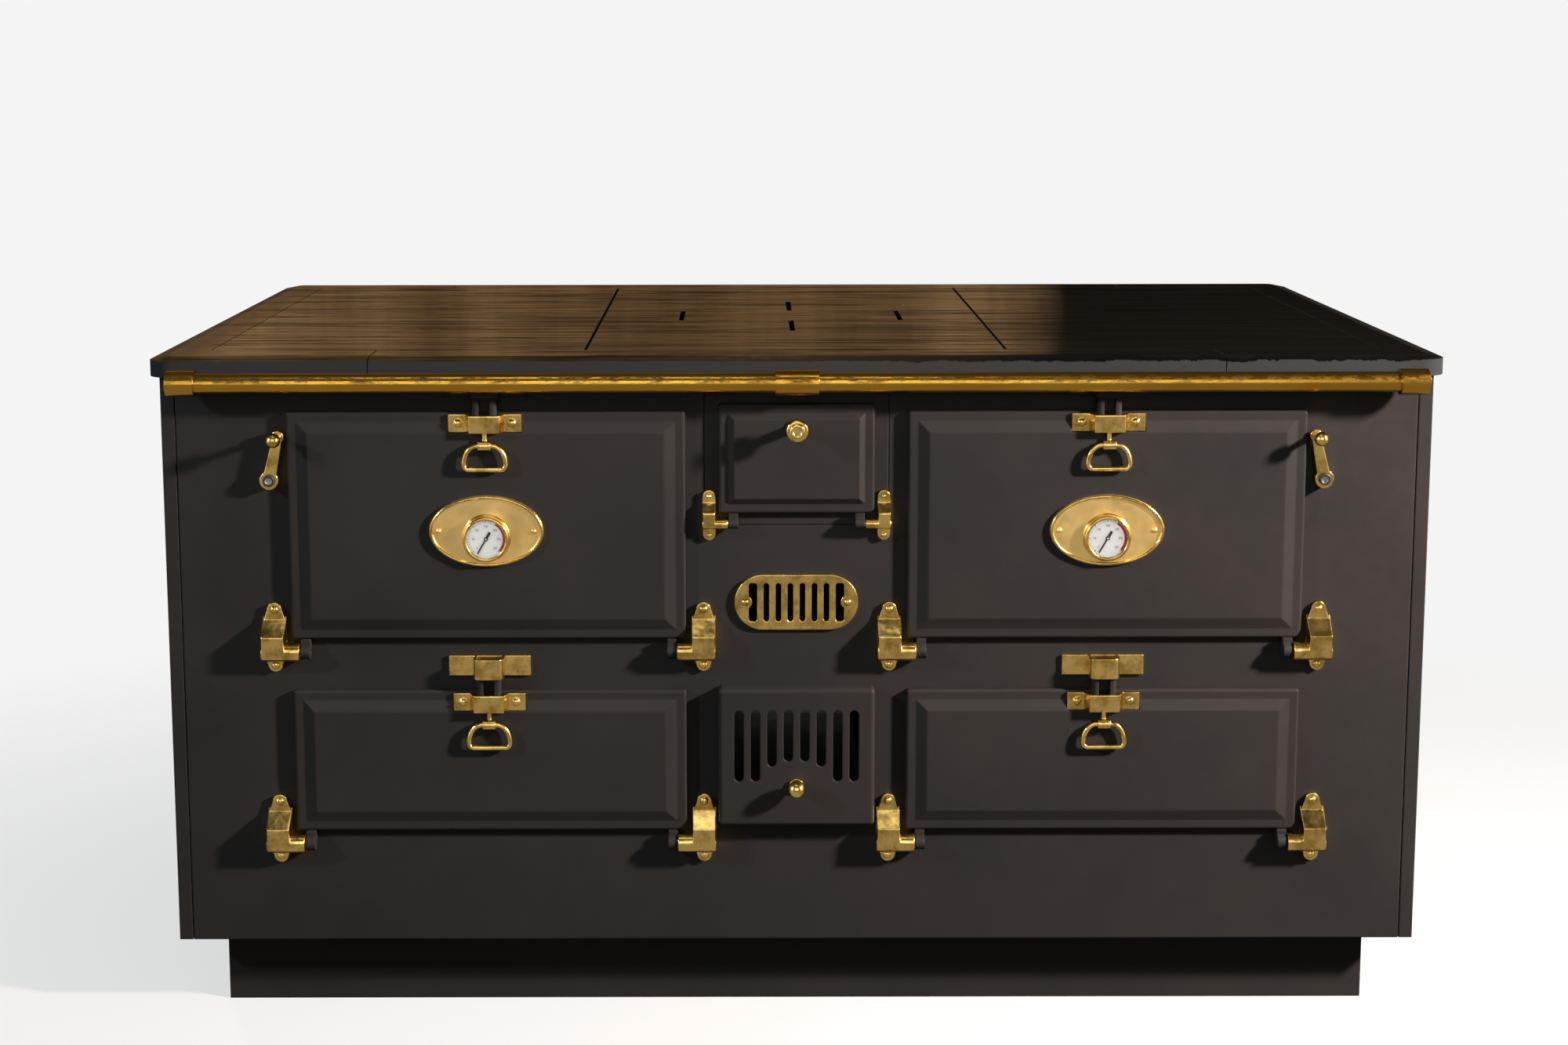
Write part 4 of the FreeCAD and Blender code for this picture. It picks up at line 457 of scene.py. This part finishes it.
def floor_material():
    """Pale matt floor that keeps the object's shadow; away from the object it has the background's tone.

    Metal mirrors it dimmer than it is, and it throws little light back at the object.
    """
    f = Finish("pale_floor")
    f.set(Base_Color=(0.88, 0.88, 0.88, 1), Roughness=0.9, Specular_IOR_Level=0.0)
    tree = f.tree
    length = tree.nodes.new("ShaderNodeVectorMath")
    length.operation = "LENGTH"
    tree.links.new(f.stretched((0.72, 1.0, 1.0)), length.inputs[0])
    away = f.spread(length.outputs["Value"], 0.66, 1.0, 0.55, 1.7)
    glow = tree.nodes.new("ShaderNodeEmission")
    glow.inputs["Color"].default_value = (*SEEN_TONE, 1)
    glow.inputs["Strength"].default_value = 1.0
    mix = tree.nodes.new("ShaderNodeMixShader")
    tree.links.new(f.maths("MULTIPLY", away, rays_that_see(tree, False)), mix.inputs[0])
    tree.links.new(f.shader.outputs[0], mix.inputs[1])
    tree.links.new(glow.outputs[0], mix.inputs[2])
    path = tree.nodes.new("ShaderNodeLightPath")
    shown = mix.outputs[0]
    for ray, tone in (("Is Glossy Ray", FLOOR_IN_METAL), ("Is Diffuse Ray", FLOOR_BOUNCE)):
        dim = tree.nodes.new("ShaderNodeEmission")
        under = tree.nodes.new("ShaderNodeMixShader")
        dim.inputs["Color"].default_value = (*tone, 1)
        tree.links.new(path.outputs[ray], under.inputs[0])
        tree.links.new(shown, under.inputs[1])
        tree.links.new(dim.outputs[0], under.inputs[2])
        shown = under.outputs[0]
    tree.links.new(shown, tree.nodes["Material Output"].inputs["Surface"])
    return f.material


# --------------------------------------------------------------------------------------- geometry

def mesh_piece(name, vertices, faces, material, body, smooth=True):
    """A piece from plain arrays, which rides on a body."""
    mesh = bpy.data.meshes.new(name)
    mesh.from_pydata(vertices.reshape(-1, 3).tolist(), [], faces)
    mesh.polygons.foreach_set("use_smooth", [smooth] * len(mesh.polygons))
    mesh.materials.append(material)
    mesh.update()
    piece = bpy.data.objects.new(name, mesh)
    bpy.context.scene.collection.objects.link(piece)
    if body:
        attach(piece, body)
    return piece


def grid(rows, columns, closed_rows=False, closed_columns=False):
    """The four-sided faces between the points of a grid, which may close on itself either way."""
    row = np.arange(rows if closed_rows else rows - 1)[:, None]
    column = np.arange(columns if closed_columns else columns - 1)[None, :]
    next_row, next_column = (row + 1) % rows, (column + 1) % columns
    around = ((row, column), (row, next_column), (next_row, next_column), (next_row, column))
    corners = np.broadcast_arrays(*[one * columns + other for one, other in around])
    return np.stack(corners, -1).reshape(-1, 4).tolist()


def box_of(name):
    """The lower and upper corner of a CAD node."""
    mesh = NODES[name].data
    points = np.empty(len(mesh.vertices) * 3)
    mesh.vertices.foreach_get("co", points)
    points = points.reshape(-1, 3)
    return points.min(0), points.max(0)


def middle_of(name):
    """The middle of a CAD node, seen from the front."""
    low, high = box_of(name)
    return (low[0] + high[0]) / 2, (low[2] + high[2]) / 2


def turned(name, profile, middle, material, body, around=96):
    """A ring turned about the Y direction: p(u, v) = middle + (r(u) sin v, y(u), r(u) cos v)."""
    profile = np.array(profile, float)
    angle = np.linspace(0, 2 * np.pi, around, endpoint=False)[None, :]
    radius, depth = profile[:, :1], profile[:, 1:]
    x, z = middle[0] + radius * np.sin(angle), middle[1] + radius * np.cos(angle)
    points = np.stack(np.broadcast_arrays(x, depth, z), -1)
    return mesh_piece(name, points, grid(len(profile), around, closed_columns=True), material, body)


def oval_bead(name, middle, half, front, radius, material, body):
    """A half-round bead along an ellipse: p(u, v) = ellipse(u) + radius (cos v normal(u) - sin v Y)."""
    u = np.linspace(0, 2 * np.pi, 160, endpoint=False)[:, None]
    v = np.linspace(0, np.pi, 9)[None, :]
    across, along = np.cos(u) / half[0], np.sin(u) / half[1]
    length = np.hypot(across, along)
    x = middle[0] + half[0] * np.cos(u) + radius * np.cos(v) * across / length
    z = middle[1] + half[1] * np.sin(u) + radius * np.cos(v) * along / length
    y = front - radius * np.sin(v) + 0 * u
    return mesh_piece(name, np.stack((x, y, z), -1), grid(160, 9, closed_rows=True), material, body)


def arc_band(inner, outer, start, end, steps):
    """A flat band between two radii and two clockwise angles, as points in the plane of a dial."""
    angle = np.radians(np.linspace(start, end, steps))[:, None]
    radius = np.array([inner, outer])[None, :]
    return np.stack((radius * np.sin(angle), radius * np.cos(angle)), -1), grid(steps, 2)


def ribbon(path, width):
    """A flat line of one width along a path of points: p(u, v) = path(u) + v normal(u)."""
    run = np.gradient(path, axis=0)
    run /= np.linalg.norm(run, axis=1, keepdims=True)
    side = np.stack((-run[:, 1], run[:, 0]), -1) * width / 2
    return np.stack((path + side, path - side), 1), grid(len(path), 2)


def bow(x, z, wide, tall, start, end, steps=9):
    """Points on a stretch of an ellipse, by clockwise angles from its top."""
    angle = np.radians(np.linspace(start, end, steps))
    return np.stack((x + wide * np.sin(angle), z + tall * np.cos(angle)), -1)


def numeral(figure):
    """The strokes of a figure, one unit tall and about half as wide, round its own middle."""
    line = lambda start, end: np.linspace(start, end, 4)
    return {
        "0": [bow(0, 0, 0.26, 0.5, 0, 360, 17)],
        "1": [line((-0.14, 0.34), (0.04, 0.5)), line((0.04, 0.5), (0.04, -0.5))],
        "2": [bow(0, 0.24, 0.24, 0.26, -80, 120), line((0.2, 0.11), (-0.26, -0.48)),
              line((-0.26, -0.48), (0.28, -0.48))],
        "3": [bow(0, 0.25, 0.23, 0.25, -70, 180), bow(0, -0.25, 0.26, 0.25, 0, 250)],
        "5": [line((0.24, 0.5), (-0.2, 0.5)), line((-0.2, 0.5), (-0.22, 0.04)),
              bow(-0.02, -0.18, 0.28, 0.32, -45, 230)],
    }[figure]


def flat_piece(name, parts, middle, depth, material, body):
    """Flat shapes in the plane of a dial, joined to one piece that faces the front."""
    points, faces, count = [], [], 0
    for shape, squares in parts:
        shape = shape.reshape(-1, 2)
        points.append(shape)
        faces += [[index + count for index in square] for square in squares]
        count += len(shape)
    plane = np.concatenate(points)
    deep = np.full(len(plane), depth)
    solid = np.stack((middle[0] + plane[:, 0], deep, middle[1] + plane[:, 1]), -1)
    return mesh_piece(name, solid, faces, material, body, False)


def dial(side):
    """Printing, red zone, painted bezel shadow and brass bezel of a thermometer, and the bead of its oval
    plate.
    """
    body = "oven_door_" + side
    middle = middle_of("thermometer_glass_" + side)
    face = box_of("thermometer_needle_" + side)[1][1] + FACE_BEHIND_NEEDLE - 0.0001
    turn = (DIAL_END - DIAL_START) / DIAL_TOP
    inner = DIAL_RADIUS - MARK_INSET
    marks = []
    for value in range(0, DIAL_TOP + 1, 10):
        angle = DIAL_START + turn * value
        tall, half = SHORT_MARK if value % 50 else LONG_MARK
        marks.append(arc_band(inner, inner + tall, angle - half, angle + half, 2))
    for value in range(0, DIAL_TOP + 1, 50):
        angle = math.radians(DIAL_START + turn * value)
        text = str(value)
        for place, figure in enumerate(text):
            x = FIGURE_RADIUS * math.sin(angle) + (place - (len(text) - 1) / 2) * FIGURE_STEP
            z = FIGURE_RADIUS * math.cos(angle)
            for path in numeral(figure):
                marks.append(ribbon(path * FIGURE_TALL + (x, z), STROKE))
    flat_piece("dial_marks_" + side, marks, middle, face, BLACK, body)
    red = [arc_band(DIAL_RADIUS - RED_INNER, DIAL_RADIUS - RED_OUTER, RED_FROM, RED_TO, 40)]
    flat_piece("dial_red_" + side, red, middle, face - 0.0001, RED, body)
    front = box_of("thermometer_case_" + side)[0][1]
    seat = box_of("thermometer_plate_" + side)
    plate_front = front + CASE_DEEP
    field = plate_front + PLATE_RECESS
    bezel = [(0.0238, front + 0.0016), (0.0240, front + 0.0002), (0.0246, front - 0.0007),
             (0.0256, front - 0.0011), (0.0268, front - 0.0009), (0.0280, front - 0.0001),
             (0.0284, front + 0.0012), (0.0285, field - 0.0012), (0.0292, field - 0.0004), (0.0302, field)]
    turned("dial_bezel_" + side, bezel, middle, BRASS, body)
    # The grey-blue cone from the face's edge up into the bezel is painted shadow: the bezel's shade on the
    # dial.
    shade = [(0.0250, face - 0.0002), (0.0244, face - 0.0004), (0.0240, front + 0.0016)]
    turned("dial_painted_shadow_" + side, shade, middle, BEZEL_SHADOW_GREY, body)
    half = ((seat[1][0] - seat[0][0]) / 2 - BEAD_INSET, (seat[1][2] - seat[0][2]) / 2 - BEAD_INSET)
    oval = middle_of("thermometer_plate_" + side)
    oval_bead("oval_bead_" + side, oval, half, plate_front, BEAD_RADIUS, BRASS, body)


def fittings():
    """The raised ring on the fire door's knob, and a flat black ring of painted shade round the screw of
    each crank, where a hollow would lie in shadow.
    """
    face = box_of("fire_knob")[0][1] + 0.0001
    ring = [(0.0048, face), (0.0054, face - 0.0009), (0.0064, face - 0.0013), (0.0076, face - 0.0012),
            (0.0086, face - 0.0007), (0.0091, face)]
    turned("knob_ring", ring, middle_of("fire_knob"), BRASS, "fire_knob")
    for side, _ in SIDES:
        face = box_of("damper_" + side)[0][1]
        # A flat black ring a little in front of the crank's face: painted shade round the screw, not a
        # hollow.
        screw_shade = [(0.0042, face + 0.0006), (0.0043, face - 0.0003), (0.0070, face - 0.0003),
                  (0.0073, face + 0.0006)]
        turned("crank_painted_shade_" + side, screw_shade, middle_of("damper_" + side), BLACK, "crank_" + side)


def floor():
    """A flat sheet under the object."""
    half = FLOOR_HALF
    corners = np.array([(-half, -half, 0), (half, -half, 0), (half, half, 0), (-half, half, 0)], float)
    piece = mesh_piece("floor", corners, [(0, 1, 2, 3)], floor_material(), None, False)


photograph_camera()
studio_light()
studio_cards()
floor()

STOVE = stove_iron()
TOP = polished_iron()
BRASS = brass()
RAIL = rail_brass(middle_of("hand_rail")[1], RAIL_RADIUS)
RIM = polished_iron(box_of("rim_ends")[1][2] - RIM_CORNER_DOWN)
RED = plain("dial_red", (0.52, 0.012, 0.03), 0.45)
# Grey-blue painted shadow for the inside of each dial's bezel.
BEZEL_SHADOW_GREY = plain("bezel_painted_shadow", (0.16, 0.21, 0.25), 0.4)
GOLD = plain("satin_brass", (0.97, 0.66, 0.25), 0.38, 1.0, 500, 0.00012)
WHITE = plain("dial_white", (0.97, 1.0, 1.0), 0.6)
BLACK = plain("needle_black", (0.015, 0.015, 0.015), 0.5)
STEEL = plain("steel", (0.36, 0.385, 0.42), 0.35, 1.0)
ENAMEL = plain("grey_enamel", (0.05, 0.05, 0.055), 0.25)
RAW = plain("raw_iron", (0.06, 0.052, 0.046), 0.75, 0.0, 220, 0.0004)
CLAY = plain("fire_clay", (0.58, 0.44, 0.3), 0.9, 0.0, 160, 0.0006)
SHEET = plain("sheet_steel", (0.36, 0.36, 0.35), 0.45, 1.0)
GLASS = dial_glass()

FINISHES = {
    "polished_iron": TOP, "black_iron": STOVE, "black_paint": STOVE, "brass": BRASS,
    "satin_brass": GOLD, "dial_white": WHITE, "needle_black": BLACK, "dial_glass": GLASS,
    "steel": STEEL, "grey_enamel": ENAMEL, "raw_iron": RAW, "fire_clay": CLAY, "sheet_steel": SHEET,
}
OVEN_BOLT, LOWER_BOLT = iron_over_brass(OVEN_YOKE_TOP), iron_over_brass(LOWER_YOKE_TOP)
KEEPERS = iron_over_brass(BETWEEN_KEEPERS)
OWN = {"hand_rail": RAIL, "rim_ends": RIM, "rim_middle": RIM, "latch_keepers": KEEPERS}
CASE = dial_case()
for side, _ in SIDES:
    OWN["thermometer_case_" + side] = CASE
    OWN["oven_bolt_" + side] = OVEN_BOLT
    OWN["lower_bolt_" + side] = LOWER_BOLT
SLOTS = {part["node"]: part["material_slot"] for part in frame["record"]["subparts"]}
for name, node in NODES.items():
    node.data.materials.clear()
    node.data.materials.append(OWN.get(name, FINISHES[SLOTS[name]]))

for side, _ in SIDES:
    dial(side)
fittings()
